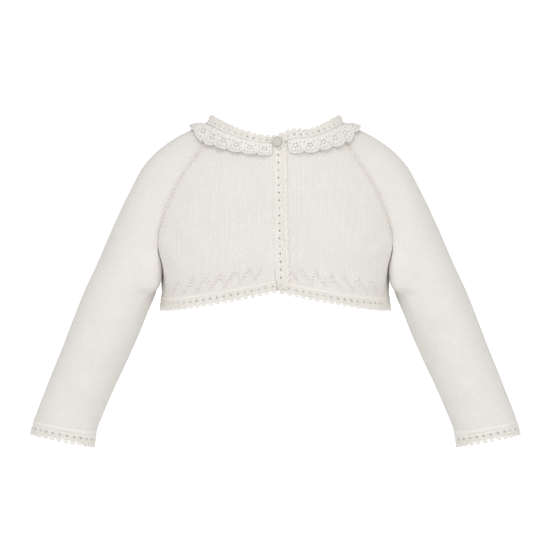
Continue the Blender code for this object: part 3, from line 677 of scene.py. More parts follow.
def knit_piece(name, panel, step, tube=False):
    """Meshes a knitted piece along its wales. On a tube the two edges of the rows from WAIST on are one line."""
    points, reach, spans, mirrored = panel.points, panel.reach, panel.spans, panel.mirrored
    count = len(points)
    row_of, s_of, rows = [], [], []
    for j, (low, high, inner) in enumerate(spans):
        first, last = math.ceil(low / step + 0.3), math.floor(high / step - 0.3)
        places = [k * step for k in range(first, last + 1)]
        for corner in inner or ():
            places = [p for p in places if abs(p - corner) > 0.3 * step]
        places = sorted({low, high, *places, *(inner or ())})
        rows.append((places, list(range(len(s_of), len(s_of) + len(places)))))
        row_of += [j] * len(places)
        s_of += places
    row_of, s_of = np.array(row_of), np.array(s_of)
    low_of, high_of = (np.array([spans[j][end] for j in row_of]) for end in (0, 1))

    at = panel.line
    dense = np.linspace(low_of.min(), high_of.max(), 200)
    courses = np.zeros((count, len(dense)))
    for j in [*range(WAIST, count - 1), *range(WAIST - 1, -1, -1)]:
        drop = at(j + 1, dense) - at(j, dense)
        run = unit(np.gradient(at(j + 1, dense), axis=0))
        drop = np.linalg.norm(drop - run * (drop * run).sum(axis=1, keepdims=True), axis=1)
        if j >= WAIST:
            courses[j + 1] = courses[j] + drop
        else:
            courses[j] = courses[j + 1] - drop
    place, along, downwards = (np.zeros((len(s_of), 3)) for _ in range(3))
    course = np.zeros(len(s_of))
    for j in range(count):
        mine = row_of == j
        s = s_of[mine]
        place[mine] = at(j, s)
        along[mine] = at(j, np.minimum(s + 0.8, reach[j][-1])) - at(j, np.maximum(s - 0.8, reach[j][0]))
        above, below = max(j - 1, 0), min(j + 1, count - 1)
        inside = (s > reach[above][0] - 0.1) & (s < reach[above][-1] + 0.1)
        downwards[mine] = at(below, s) - np.where(inside[:, None], at(above, s), at(j, s))
        course[mine] = np.interp(s, dense, courses[j])
    way = unit(np.cross(along, downwards)) * (-1 if mirrored else 1)
    raised, hollow = panel.relief(place, row_of, s_of, low_of, high_of)
    gap = SEAM_GAP / 2
    sewn = np.where((row_of >= WAIST) & tube, 0.0, gap)
    drawn = unit(along) * (np.where(s_of <= low_of + 1e-6, sewn, 0)
                           - np.where(s_of >= high_of - 1e-6, sewn, 0))[:, None]
    drawn += unit(downwards) * (np.where(row_of == 0, gap, 0) - np.where(row_of == count - 1, gap, 0))[:, None]
    soft = np.where(np.abs(raised) > FOLD_FROM, raised, 0)
    cloth = Cloth()
    outer = place + way * raised[:, None] + drawn
    inner = place + way * (soft - KNIT_WALL)[:, None] + drawn
    stitches = np.stack([s_of / WALE, course / COURSE], axis=1)
    owner = np.arange(len(s_of))
    if tube:
        for j in range(WAIST, count):
            owner[rows[j][1][-1]] = rows[j][1][0]

    def add(*entries):
        corners = [int(owner[e]) for e in entries]
        if len(set(corners)) < len(corners):
            return
        turn = -1 if mirrored else 1
        cloth.faces.append(corners[::turn])
        cloth.corners.append([stitches[e] for e in entries][::turn])

    for j in range(count - 1):
        upper, lower = rows[j], rows[j + 1]
        narrow = spans[j + 1][2]
        if narrow:
            keep = [i for i, s in enumerate(lower[0]) if narrow[0] - 1e-9 <= s <= narrow[1] + 1e-9]
            lower = ([lower[0][i] for i in keep], [lower[1][i] for i in keep])
        a, b = 0, 0
        while a < len(upper[0]) - 1 or b < len(lower[0]) - 1:
            more_a, more_b = a < len(upper[0]) - 1, b < len(lower[0]) - 1
            level = more_a and more_b and abs(upper[0][a] - lower[0][b]) < 1e-6
            if level and abs(upper[0][a + 1] - lower[0][b + 1]) < 1e-6:
                add(upper[1][a], upper[1][a + 1], lower[1][b + 1], lower[1][b])
                a, b = a + 1, b + 1
            elif not more_b or (more_a and upper[0][a + 1] <= lower[0][b + 1]):
                add(upper[1][a], upper[1][a + 1], lower[1][b])
                a += 1
            else:
                add(upper[1][a], lower[1][b + 1], lower[1][b])
                b += 1
    used = sorted({i for face in cloth.faces for i in face})
    renumber = {old: i for i, old in enumerate(used)}
    cloth.outer, cloth.inner, cloth.hollow = outer[used], inner[used], hollow[used]
    cloth.faces = [[renumber[i] for i in face] for face in cloth.faces]
    return cloth.build(name, knit_face, knit_inside)


def skin_lines(skin, first, last, downs):
    around, down = np.broadcast_arrays(np.linspace(first, last, LINE_SAMPLES)[None, :], downs[:, None])
    return around, down, skin(around, down)


def reach_from(points, origin):
    """Distance along each line of points from one of its samples."""
    steps = np.linalg.norm(np.diff(points, axis=1), axis=2)
    lengths = np.concatenate([np.zeros((len(points), 1)), np.cumsum(steps, axis=1)], axis=1)
    return lengths - lengths[:, origin][:, None]


RAGLAN_DEPTH, SIDE_SEAM_DEPTH = 0.16, 0.22
SEAM_REACH, SEAM_RIDGE, SEAM_RIDGE_AT, SEAM_RIDGE_REACH = 1.25, 0.45, 3.4, 1.3
BODY_RIBS, SLEEVE_RIBS = 0.26, 0.14

# Painted shade between the marks of the decreases: how strong, how far from the seam and how wide, and where it fades
MARK_SHADE, MARK_SHADE_AT, MARK_SHADE_REACH, MARK_FADING_SHARE = 0.36, 2.4, 2.2, 0.3


def wale_ribs(s, z, height):
    """The wales stand up as soft ribs with a fine line of painted shade between them, no two of them quite alike."""
    rib = np.abs(np.sin(math.pi * s / WALE))
    wale = np.round(s / WALE)
    uneven = 0.88 + 0.12 * np.sin(wale * 2.4 + 0.9 * np.sin(z * 0.045 + wale))
    uneven = uneven * (0.90 + 0.10 * np.sin(z * 0.11 + wale * 1.7))
    return height * uneven * (rib - 0.6), (1 - rib) * uneven


def painted_mark_shade(distance, row):
    """Painted shade between the marks of the decreases, along the raglan."""
    patchy = 0.75 + 0.25 * np.sin(1.9 * row + 1.3 * np.sin(0.7 * row))
    fading = np.clip((WAIST - row) / (MARK_FADING_SHARE * WAIST), 0, 1)
    return MARK_SHADE * patchy * fading * np.exp(-((distance - MARK_SHADE_AT) / MARK_SHADE_REACH)**4)


def seam_relief(distance, row):
    """A seam lies in a groove beside a low ridge. Below the underarm it is deeper."""
    depth = np.where(row < WAIST, RAGLAN_DEPTH, SIDE_SEAM_DEPTH)
    ridge = SEAM_RIDGE * bell(distance - SEAM_RIDGE_AT, SEAM_RIDGE_REACH)
    return depth * (ridge - bell(distance, SEAM_REACH))


def body_relief(panel, strokes, seam_distance, folds):
    """Ribs, seams, folds and zigzag of a front or the back, and painted shade in their grooves and dips."""
    def relief(place, row, s, low, high):
        ribs, shade_between_wales = wale_ribs(s, place[:, 2], BODY_RIBS)
        away = seam_distance(s, low, high)
        seam = seam_relief(away, row)
        dip = zigzag_dip_and_shade(panel, strokes, row, s)
        # Painted shade between the wales, in the seam's groove, beside the zigzag's strokes and between the decreases'
        # marks
        shade = shade_between_wales + np.clip(-seam, 0, 1) * 0.2 + 1.8 * dip + painted_mark_shade(away, row)
        return ribs + seam + folds(place) - 0.3 * dip, shade
    return relief


def make_front(name, side, strokes):
    """side -1 is the wearer's right front, which laps over the left one."""
    right = side < 0
    yoke_ends, body_ends = ((-0.12, 1), (-0.12, 2)) if right else ((7, 8.12), (6, 8.12))
    points, reach = [], []
    for (first, last), downs in ((yoke_ends, YOKE_PLACES[:-1]), (body_ends, BODY_PLACES)):
        around, down, grid = skin_lines(ring, first, last, downs)
        grid = lapped(around, down, grid, facing(grid))
        points += list(grid)
        reach += list(reach_from(grid, int(np.argmin(np.abs(around[0] - (0 if right else 8))))))
    downs = np.concatenate([YOKE_PLACES[:-1], BODY_PLACES])
    edge_x = right_band_x(downs, 0) if right else right_band_x(downs, 1) - LEFT_PANEL_UNDER
    edge = [float(np.interp(-x, -line[:, 0], s)) for x, line, s in zip(edge_x, points, reach)]
    spans = [(e, float(s[-1]), None) if right else (float(s[0]), e, None) for e, s in zip(edge, reach)]
    corner = float(np.interp(1.0 if right else 7.0, around[0], reach[WAIST]))
    low, high, _ = spans[WAIST]
    spans[WAIST] = (low, high, (low, corner) if right else (corner, high))
    panel = Panel(points, reach, spans)
    panel.relief = body_relief(panel, strokes, lambda s, low, high: high - s if right else s - low,
                               lambda place: crease_relief(FRONT_CREASES, place[:, 0], place[:, 2]))
    return knit_piece(name, panel, BODY_STEP), panel


def sewn_panel(skin, yoke_ends, body_ends, body_places, mirrored=False):
    """A panel with a seam on either side, which widens at the underarm."""
    yoke, body = skin_lines(skin, *yoke_ends, YOKE_PLACES[:-1]), skin_lines(skin, *body_ends, body_places)
    reach = [s for grid in (yoke[2], body[2]) for s in reach_from(grid, LINE_SAMPLES // 2)]
    spans = [(float(s[0]), float(s[-1]), None) for s in reach]
    corners = tuple(float(np.interp(fold, body[0][0], reach[WAIST])) for fold in yoke_ends)
    spans[WAIST] = (*spans[WAIST][:2], corners)
    return Panel([*yoke[2], *body[2]], reach, spans, mirrored)


def nearer_seam(s, low, high):
    return np.minimum(high - s, s - low)


def make_back(name, strokes):
    panel = sewn_panel(ring, (3, 5), (2, 6), BODY_PLACES)
    panel.relief = body_relief(panel, strokes, nearer_seam, lambda place: crease_relief(
        BACK_CREASES, place[:, 0], place[:, 2]) + back_swell(*place.T))
    return knit_piece(name, panel, BODY_STEP), panel


def make_sleeve(name, side):
    def relief(place, row, s, low, high):
        ribs, shade_between_wales = wale_ribs(s, place[:, 2], SLEEVE_RIBS)
        seam = seam_relief(nearer_seam(s, low, high), row)
        x, y, z = place.T
        front = soft_step(0.5 - y / 16)
        folds = (front * crease_relief(SLEEVE_CREASES, x, z, side)
                 + (1 - front) * crease_relief(SLEEVE_BACK_CREASES, x, z, side) + armpit_swell(side * x, y, z))
        # Painted shade between the wales and in the seam's groove
        return ribs + seam + folds, 0.4 * shade_between_wales + np.clip(-seam, 0, 1) * 0.5

    panel = sewn_panel(lambda turn, down: sleeve_skin(side, turn, down), (-1, 1), (-2, 2), SLEEVE_PLACES, side > 0)
    panel.relief = relief
    return knit_piece(name, panel, SLEEVE_STEP, tube=True), panel


class Patch:
    """A band's surface as a grid of skin points: columns along it, rows across it from its seam."""

    def __init__(self, points, cells, flipped=False, closed=False):
        self.points, self.cells, self.flipped, self.closed = points, cells, flipped, closed
        self.ways = facing(points) * (-1 if flipped else 1)
        if closed:
            self.ways[:, 0] = self.ways[:, -1] = unit(self.ways[:, 0] + self.ways[:, -1])
        across = np.linalg.norm(np.diff(points, axis=0), axis=2).sum(axis=0)
        self.width = float(across.mean())
        self.length, self.free_length = (float(lengths_along(points[row])[-1]) for row in (0, -1))

    def cut(self):
        """Width, length and area of the strip laid flat, in metres. A frill is as long as its outer edge."""
        length = max(self.length, self.free_length)
        return self.width * MM, length * MM, self.width * length * MM * MM

    def read(self, grid, cell, share):
        rows, columns = self.points.shape[:2]
        u = np.clip(np.asarray(cell, float) / self.cells, 0, 1) * (columns - 1)
        v = np.clip(np.asarray(share, float), 0, 1) * (rows - 1)
        i, j = np.minimum(u.astype(int), columns - 2), np.minimum(v.astype(int), rows - 2)
        a, b = (u - i)[..., None], (v - j)[..., None]
        return ((1 - b) * ((1 - a) * grid[j, i] + a * grid[j, i + 1])
                + b * ((1 - a) * grid[j + 1, i] + a * grid[j + 1, i + 1]))

    def at(self, cell, share):
        return self.read(self.points, cell, share), unit(self.read(self.ways, cell, share))

    def stitch(self, cell, share, proud, size=1.0, swing=0.0):
        """Where a stitch sits, which way it runs and faces, and its size."""
        cell, share = np.broadcast_arrays(np.asarray(cell, float), np.asarray(share, float))
        place, way = self.at(cell, share)
        run = unit(self.at(cell + 0.1, share)[0] - self.at(cell - 0.1, share)[0]) * (-1 if self.flipped else 1)
        turn = np.radians(swing) * np.ones(cell.shape)
        side = np.cross(way, run)
        run = run * np.cos(turn)[:, None] + side * np.sin(turn)[:, None]
        return place + way * proud, run, way, np.ones(cell.shape) * size


def even_along(line, count):
    """Shares of a line's samples that are the same length apart."""
    lengths = lengths_along(line)
    return np.interp(np.linspace(0, lengths[-1], count), lengths, np.linspace(0, 1, len(line)))


CELL_COLUMNS = 6


def cells_and_shares(line, pitch, columns=CELL_COLUMNS):
    """How many repeats of a pitch a line holds, and the shares of it that make them equal."""
    cells = round(lengths_along(line)[-1] / pitch)
    return cells, even_along(line, cells * columns + 1)


BAND_ROWS, LACE_ROWS, LACE_COLUMNS = 8, 13, 12
CUFF_STRETCH, CUFF_FLARE = 1.13, 0.02


def neck_band_patch():
    first = float(around_at(NECK_BAND_ENDS_X[0], NECK))
    last = float(around_at(NECK_BAND_ENDS_X[1], NECK)) + 8
    cells, share = cells_and_shares(ring(np.linspace(first, last, 900), NECK), PICOT_PITCH)
    around = first + (last - first) * share
    base = ring(around, NECK)
    rise = between(NECK_BAND_RISE, np.abs(base[:, 0]) / NECK_HALF_WIDTH)
    rise = rise + LEFT_BAND_RISE * left_neck(around, base[:, 0])
    top = triple(base[:, 0] * NECK_BAND_NARROWS[0], base[:, 1] * NECK_BAND_NARROWS[1], base[:, 2] + rise)
    low = base + drawn_up(around, NECK, base)
    across = np.linspace(0, 1, BAND_ROWS)[:, None, None]
    return Patch(low + (top - low) * across, cells, flipped=True)


def hem_band_patch():
    def ends_at(down):
        share = down - EDGING
        return (float(around_at(between(HEM_RIGHT_END_X, share), down)),
                float(around_at(between(HEM_LEFT_END_X, share), down)) + 8)

    first, last = ends_at(EDGING)
    cells, share = cells_and_shares(ring(np.linspace(first, last, 1500), EDGING), PICOT_PITCH)
    downs = np.linspace(EDGING, EDGE, BAND_ROWS)
    ends = np.array([ends_at(down) for down in downs])
    around = ends[:, :1] + (ends[:, 1:] - ends[:, :1]) * share
    points = ring(around, downs[:, None])
    lift = np.zeros(around.shape)
    for near, end, height in ((around < 2, 0, RIGHT_LIFT), (around > 6, -1, LEFT_LIFT)):
        distance = np.linalg.norm(points - points[:, end][:, None], axis=2)
        lift += np.where(near, lap(distance, height), 0)
    return Patch(points + facing(points) * lift[..., None], cells)


def right_band_patch():
    top, seam_end = float(torso("front_z", NECK)), float(torso("front_z", EDGING))
    foot = BAND_CORNER_Z - BAND_CORNER_DROP
    cells = round((top - foot) / FRONT_PICOT_PITCH)
    z = np.linspace(top, foot, cells * CELL_COLUMNS + 1)
    down = down_at(z)
    inner, outer = (right_band_x(np.minimum(down, EDGING), edge) for edge in (0, 1))
    drop = np.clip((BAND_CORNER_Z - z) / BAND_CORNER_DROP, 0, 1)
    outer = BAND_CORNER_X + (outer - BAND_CORNER_X) * np.sqrt(1 - drop * drop)
    inner = inner + (BAND_FOOT_X - inner) * np.clip((seam_end - z) / (seam_end - foot), 0, 1)
    x = inner + (outer - inner) * np.linspace(0, 1, BAND_ROWS)[:, None]
    points = ring(around_at(x, down), down * np.ones(x.shape))
    return Patch(points + facing(points) * RIGHT_LIFT, cells)


def left_band_patch():
    cells = round((torso("front_z", NECK) - torso("front_z", EDGING)) / FRONT_PICOT_PITCH)
    down = np.linspace(NECK, EDGING, cells * CELL_COLUMNS + 1)
    seam_x, free_x = right_band_x(down, 1) - LEFT_PANEL_UNDER, right_band_x(down, 0)
    x = seam_x + (free_x - seam_x) * np.linspace(0, 1, BAND_ROWS)[:, None]
    points = ring(around_at(x, down), down * np.ones(x.shape))
    return Patch(points - facing(points) * LEFT_LIFT, cells, flipped=True)


def cuff_patch(side):
    """The cuff's cloth hangs a little longer than its solid and flares towards its free edge."""
    line = sleeve_skin(side, np.linspace(-2, 2, 801), EDGING)
    cells, share = cells_and_shares(line, PICOT_PITCH)
    downs = np.linspace(EDGING, EDGE, BAND_ROWS)
    points = sleeve_skin(side, (4 * share - 2)[None, :], downs[:, None])
    points = points[0] + (points - points[0]) * CUFF_STRETCH
    middle = points.mean(axis=1, keepdims=True)
    flare = 1 + CUFF_FLARE * np.linspace(0, 1, BAND_ROWS)[:, None, None]
    return Patch(middle + (points - middle) * flare, cells, flipped=side > 0, closed=True)


def lace_patch():
    """The collar's strip lies on the yoke, gathered into waves that stand off it."""
    first, last = (float(around_at(x, NECK)) for x in LACE_ENDS_X)
    line = ring(np.linspace(first, last + 8, 900), NECK)
    cell = np.linspace(0, 1, LACE_SCALLOPS * LACE_COLUMNS + 1)
    share = np.interp(cell + LACE_CROWDING * np.sin(2 * math.pi * cell) / (2 * math.pi),
                      np.linspace(0, 1, 1200), even_along(line, 1200))
    around = first + (last + 8 - first) * share
    neck = ring(around, NECK)
    shoulder = soft_step(np.abs(neck[:, 0]) / NECK_HALF_WIDTH)
    across = np.linspace(0, 1, LACE_ROWS)[:, None]
    down = LACE_INNER_EDGE + between(LACE_WIDTH, shoulder) * across
    points = ring(around, down)
    points = lapped(around, down, points, facing(points))
    lean = np.cumsum(1 + 0.45 * np.sin(29 * cell) + 0.3 * np.sin(71 * cell + 1))
    waves = LACE_WAVES * lean / lean[-1]
    wave = 0.5 - 0.5 * np.cos(2 * math.pi * waves)
    ripple = 0.5 + 0.5 * np.sin(2 * math.pi * (2.3 * waves + 0.2))
    wave_height = LACE_WAVE_HEIGHT * (0.75 + 0.35 * np.sin(17 * cell + 2)) * wave**1.3 + 0.5 * ripple
    fold_height = np.zeros(len(around))
    for x, way, height in LACE_FOLDS:
        off = (neck[:, 0] - x) * way
        folded = height * np.where(off > 0, np.exp(-off / 5.0), bell(off, 0.7))
        fold_height += np.where(np.abs(np.mod(around, 8) - 4) > 2, folded, 0)
    arch = LACE_ARCH * bell(neck[:, 1], 15) * np.sin(math.pi * across**0.8)
    proud = (REST_GAP + LACE_STAND + arch
             + across * (wave_height + LACE_SHOULDER_RISE * shoulder * across + fold_height * np.sqrt(across)))
    return Patch(points + facing(points) * proud[..., None], LACE_SCALLOPS)


def cut_cell(pitch, depth, low_edge, holes, spacing, hole_sides):
    """Triangles of one repeat of a band or frill: flat cloth with its holes and its shaped lower edge."""
    spots, edges = [], []

    def loop(points):
        start = len(spots)
        spots.extend(points)
        count = len(points)
        edges.extend((start + i, start + (i + 1) % count) for i in range(count))

    def from_holes(u, v, margin):
        """Less than 1 inside a hole, or within a margin of it."""
        return min(math.hypot((u - hu) / (ru + margin), (v - hv) / (rv + margin)) for hu, hv, ru, rv in holes)

    side = [depth * i / round(depth / spacing) for i in range(round(depth / spacing) + 1)]
    top = [pitch * i / round(pitch / spacing) for i in range(1, round(pitch / spacing))]
    low_count = round(1.5 * pitch / spacing)
    low = [pitch * i / low_count for i in range(1, low_count)]
    loop([(u, 0.0) for u in [0.0, *top]] + [(pitch, v) for v in side]
         + [(u, low_edge(u)) for u in reversed(low)] + [(0.0, v) for v in reversed(side[1:])])
    for u, v, ru, rv in holes:
        loop([(u + ru * x, v + rv * y) for x, y in circle(hole_sides)])
    rows = int(max(low_edge(u) for u in low) / (spacing * 0.87)) + 1
    for j in range(1, rows + 1):
        for i in range(int(pitch / spacing) + 2):
            u, v = (i + 0.5 * (j % 2)) * spacing, j * spacing * 0.87
            if not 0.45 * spacing < u < pitch - 0.45 * spacing or v > low_edge(u) - 0.5 * spacing:
                continue
            if from_holes(u, v, 0.4 * spacing) > 1:
                spots.append((u, v))
    done = geometry.delaunay_2d_cdt([Vector(p) for p in spots], edges, [], 0, 1e-6)
    verts = [tuple(v) for v in done[0]]
    triangles = []
    for face in done[2]:
        u, v = (sum(verts[i][axis] for i in face) / 3 for axis in (0, 1))
        if v > low_edge(u) or from_holes(u, v, 0) < 0.93:
            continue
        a, b, c = (Vector(verts[i]) for i in face)
        turn = (b - a).cross(c - a)
        if abs(turn) > 1e-9:
            triangles.append(tuple(face) if turn > 0 else tuple(reversed(face)))
    return verts, triangles


def repeat_cell(name, patch, pitch, depth, kinds, relief, wall, finish, seam_gap, choose=lambda c: 0,
                eyelet=None):
    """Lays one repeat after another along a patch, joined edge to edge, as one wall of cloth.

    kinds are repeats with the same two ends, and choose says which of them each place has.
    An eyelet at this place in the repeat, with these reaches, closes up behind.
    """
    kind_of = [choose(c) for c in range(patch.cells)]
    sides = [[sorted((i for i, v in enumerate(verts) if abs(v[0] - end) < 1e-6), key=lambda i: verts[i][1])
              for end in (0, pitch)] for verts, _ in kinds]
    index, spots = {}, []
    for c, kind in enumerate(kind_of):
        right = set(sides[kind][1])
        for i, (u, v) in enumerate(kinds[kind][0]):
            if i not in right:
                index[(c, i)] = len(spots)
                spots.append((c + u / pitch, v))
    last = kind_of[-1]
    for i, first in zip(sides[last][1], sides[kind_of[0]][0]):
        if patch.closed:
            index[(patch.cells - 1, i)] = index[(0, first)]
        else:
            index[(patch.cells - 1, i)] = len(spots)
            spots.append((patch.cells, kinds[last][0][i][1]))
    for c in range(patch.cells - 1):
        for i, following in zip(sides[kind_of[c]][1], sides[kind_of[c + 1]][0]):
            index[(c, i)] = index[(c + 1, following)]
    spots = np.array(spots)
    place, way = patch.at(spots[:, 0], spots[:, 1] / depth)
    raised, hollow = relief(spots[:, 0], spots[:, 1])
    drawn = np.zeros(place.shape)
    seam = spots[:, 1] < 1e-6
    down = unit(patch.at(spots[:, 0], 0.2)[0] - patch.at(spots[:, 0], 0.0)[0])
    drawn[seam] = down[seam] * seam_gap
    behind = place
    if eyelet:
        u, v = (spots[:, 0] - np.floor(spots[:, 0])) * pitch - eyelet[0], spots[:, 1] - eyelet[1]
        drawn_in = EYELET_CLOSING * (np.hypot(u / eyelet[2], v / eyelet[3]) < 1.02)
        behind = patch.at(spots[:, 0] - drawn_in * u / pitch, (spots[:, 1] - drawn_in * v) / depth)[0]
    cloth = Cloth()
    cloth.outer = place + way * raised[:, None] + drawn
    cloth.inner = behind + way * (np.minimum(raised, 0) * 0.5 - wall)[:, None] + drawn
    cloth.hollow = hollow
    turn = -1 if patch.flipped else 1
    for c, kind in enumerate(kind_of):
        verts, triangles = kinds[kind]
        for face in triangles:
            corners = [index[(c, i)] for i in face]
            placed = [np.array([(c + verts[i][0] / pitch) * pitch / WALE, verts[i][1] / COURSE]) for i in face]
            cloth.faces.append(corners[::turn])
            cloth.corners.append(placed[::turn])
    return cloth.build(name, finish, finish)


def rounded_picot(pitch, root, tip, half_width):
    """Lower edge of one repeat: a rounded shell that reaches from its root to its tip."""
    def low_edge(u):
        off = min(abs(u - pitch / 2) / (half_width * pitch), 1.0)
        return root + (tip - root) * math.sqrt(1 - off**3)
    return low_edge


BAND_SPACING, LACE_SPACING, PICOT_HALF_WIDTH = 0.74, 0.8, 0.43
RIDGE_HEIGHT, RIDGE_REACH, CHAIN_HEIGHT, CHAIN_REACH, PICOT_PUFF, EYELET_SINK = 0.60, 0.75, 0.42, 0.7, 0.40, 0.30
# Size of a tight eyelet, how far an eyelet closes up behind, the painted shade of a tight eyelet, and eyelets'
# widening
TIGHT_EYELET, EYELET_CLOSING, FAINT_EYELET_SHADE, EYELET_WIDENING = 0.5, 0.72, 0.7, 1.15


def band_relief(ridge_at, eyelet_at, eyelet_size, slit, pitch, is_open, chain_at, root, tip, tuck, notch):
    """The edging's own form: a ridge, sunk eyelets between posts, a chain row and puffed picots, and its painted
    shade.
    """
    def relief(cell, v):
        # Painted shade in each eyelet: darker in an open one, fainter in a tight one
        dark = np.array([1.1 if is_open(c) else FAINT_EYELET_SHADE for c in np.floor(cell).astype(int)])
        off = cell - np.floor(cell) - 0.5
        ridge = RIDGE_HEIGHT * bell(v - ridge_at, RIDGE_REACH)
        chain = CHAIN_HEIGHT * bell(v - chain_at, CHAIN_REACH)
        hole = np.exp(-((off * pitch / (eyelet_size * EYELET_WIDENING + 0.5))**2
                        + ((v - eyelet_at) / (eyelet_size * slit + 0.5))**2)**3)
        puff = np.clip((v - root) / (tip - root), 0, 1)
        picot = PICOT_PUFF * np.sin(math.pi * puff) * np.cos(math.pi * np.clip(off, -0.5, 0.5))
        groove = bell(v, 0.7)
        # Painted shade in the eyelets, the seam's groove and the notches between the picots
        band_shade = dark * hole + 0.12 * groove + notch * np.clip(1 - puff * 4, 0, 1) * (v > root - 1)
        bent = tuck * np.clip((v - root + 3) / (tip - root + 3), 0, 1)**1.5
        return ridge + chain + picot - bent - EYELET_SINK * hole - 0.10 * groove, np.clip(band_shade, 0, 1)
    return relief


def make_band(name, patch, ridge_at, eyelet_at, chain_at, eyelet_size=1.0, pitch=PICOT_PITCH, tuck=0.0,
              is_open=lambda c: True, slit=1.0, notch=0.25, picot_share=PICOT_SHARE, half_width=PICOT_HALF_WIDTH):
    """A crocheted edging. Some of its eyelets are pulled tight: is_open says which are not."""
    depth = patch.width
    root = depth * (1 - picot_share)
    edge = rounded_picot(pitch, root, depth, half_width)
    eyelets = [(pitch / 2, eyelet_at, size * EYELET_WIDENING, size * slit) for size in (eyelet_size, TIGHT_EYELET)]
    kinds = [cut_cell(pitch, root, edge, [eyelet], BAND_SPACING, 10) for eyelet in eyelets]
    relief = band_relief(ridge_at, eyelet_at, eyelet_size, slit, pitch, is_open, chain_at, root, depth, tuck, notch)
    return repeat_cell(name, patch, pitch, depth, kinds, relief, BAND_WALL, crochet_face, SEAM_GAP / 2,
                       lambda c: 0 if is_open(c) else 1, eyelets[0])


def scallop_edge(depth, place):
    """How far the lace reaches at places counted in scallops."""
    off = np.abs(place - np.floor(place) - 0.5) * 2
    return depth * (1 - LACE_SCALLOP_DEPTH * (1 - np.sqrt(np.clip(1 - off**2.2, 0, 1))))


def lace_edging(name, patch):
    """The worked cord round the scallops."""
    def edge_at(cell):
        return patch.at(cell, scallop_edge(patch.width, cell) / patch.width)[0]

    fine = np.linspace(0, patch.cells, patch.cells * 60 + 1)[1:-1]
    lengths = lengths_along(edge_at(fine))
    cell = np.interp(np.arange(0.6, lengths[-1], 1.25), lengths, fine)
    inside = scallop_edge(patch.width, cell) / patch.width - 0.5 / patch.width
    place, _, way, size = patch.stitch(cell, inside, 0.0)
    run = unit(edge_at(cell + 0.02) - edge_at(cell - 0.02))
    return set_stitches(name, [("edge", [(place, run, way, size)])], lace_face, 0.06)


# The lace's holes: each with its place across, its place down as a share of the lace's depth, and its radius
LACE_SIDE_HOLES = ((-4.3, 0.26, 0.6), (-4.3, 0.62, 0.55), (4.3, 0.26, 0.6), (4.3, 0.62, 0.55))
FLOWER_HOLES, FLOWER_RADIUS, FLOWER_AT, FLOWER_HOLE = 5, 2.1, 0.47, 0.70
EDGE_HOLE_PLACES, EDGE_HOLE_PITCH, EDGE_HOLE_INSET, EDGE_HOLE = (-1.5, -0.5, 0.5, 1.5), 2.9, 2.9, 0.6
LACE_CORD_HEIGHT, LACE_ROW_HEIGHT, LACE_RING_HEIGHT, LACE_TUCK_HEIGHT = 0.55, 0.20, 0.22, 0.30


def make_lace(name, patch):
    """One scallop: a flower of small holes, a row inside its edge and eyelets along the neck."""
    pitch, depth = patch.length / patch.cells, patch.width

    def spread(v):
        return between((1.0, patch.free_length / patch.length), v / depth)

    def low_edge(u):
        return float(scallop_edge(depth, np.array(min(max(u / pitch, 0.0), 1 - 1e-9))))

    holes = []

    def hole(u, v, size):
        holes.append((pitch / 2 + u / spread(v), v, size / spread(v), size))

    for x, y in circle(FLOWER_HOLES):
        hole(FLOWER_RADIUS * y, depth * FLOWER_AT + FLOWER_RADIUS * x, FLOWER_HOLE)
    for u, share, size in LACE_SIDE_HOLES:
        hole(u, depth * share, size)
    for place in EDGE_HOLE_PLACES:
        u = place * EDGE_HOLE_PITCH
        hole(u, low_edge(pitch / 2 + u / spread(depth)) - EDGE_HOLE_INSET, EDGE_HOLE)
    cell = cut_cell(pitch, low_edge(0), low_edge, holes, LACE_SPACING, 8)

    def relief(place, v):
        edge = scallop_edge(depth, place)
        cord = LACE_CORD_HEIGHT * bell(edge - v - 0.6, 0.75)
        row = LACE_ROW_HEIGHT * bell(edge - v - 4.9, 0.6)
        rings = np.zeros(v.shape)
        for u, hole_v, size_u, size_v in holes:
            away = np.hypot(((place - np.floor(place)) * pitch - u) / size_u, (v - hole_v) / size_v)
            rings = np.maximum(rings, bell(away - 1.15, 0.45))
        sway = np.sin(2 * math.pi * place * 2.37 + 1.4 * np.sin(place))
        tucks = LACE_TUCK_HEIGHT * sway * bell(v, depth * 0.3)
        # Painted shade along the seam and just inside the cord round the scallops
        hollow = 0.12 * bell(v, 1.2) + 0.8 * bell(edge - v - 2.0, 0.5)
        return cord + row + LACE_RING_HEIGHT * rings + tucks, hollow

    return repeat_cell(name, patch, pitch, depth, [cell], relief, LACE_WALL, lace_face, 0.0)


def turned(name, profile, sides, finish, centre, normal):
    """A closed shape turned about the line that it faces along; its profile starts and ends on that line."""
    verts, faces = [], []
    rows = [[len(verts)]]
    verts.append((0.0, 0.0, profile[0][1]))
    for radius, height in profile[1:-1]:
        rows.append(list(range(len(verts), len(verts) + sides)))
        verts += [(radius * x, radius * y, height) for x, y in circle(sides)]
    rows.append([len(verts)])
    verts.append((0.0, 0.0, profile[-1][1]))
    for upper, lower in zip(rows, rows[1:]):
        for k in range(sides):
            corners = [upper[k % len(upper)], lower[k % len(lower)], lower[(k + 1) % len(lower)],
                       upper[(k + 1) % len(upper)]]
            faces.append(list(dict.fromkeys(corners)))
    placing = Matrix.Translation(centre) @ normal.to_track_quat("Z", "Y").to_matrix().to_4x4()
    mesh = smooth_mesh(name, [tuple((placing @ Vector(v)) * MM) for v in verts], faces, finish)
    mesh.set_sharp_from_angle(angle=BUTTON_SHARP_FROM)
    return in_scene(name, mesh)


def button_place():
    """Middle of the button's back and the direction that it faces."""
    down = float(down_at(BUTTON_Z))
    around = float(around_at(BUTTON_X, down))
    near = np.array([-0.004, 0.0, 0.004])
    points = ring((around + near)[None, :], (down + near)[:, None])
    normal = facing(points)[1, 1]
    seat = np.array([points[1, 1, 0], points[1, 1, 1], BUTTON_Z])
    return Vector(seat + normal * (RIGHT_LIFT + REST_GAP)), Vector(normal)


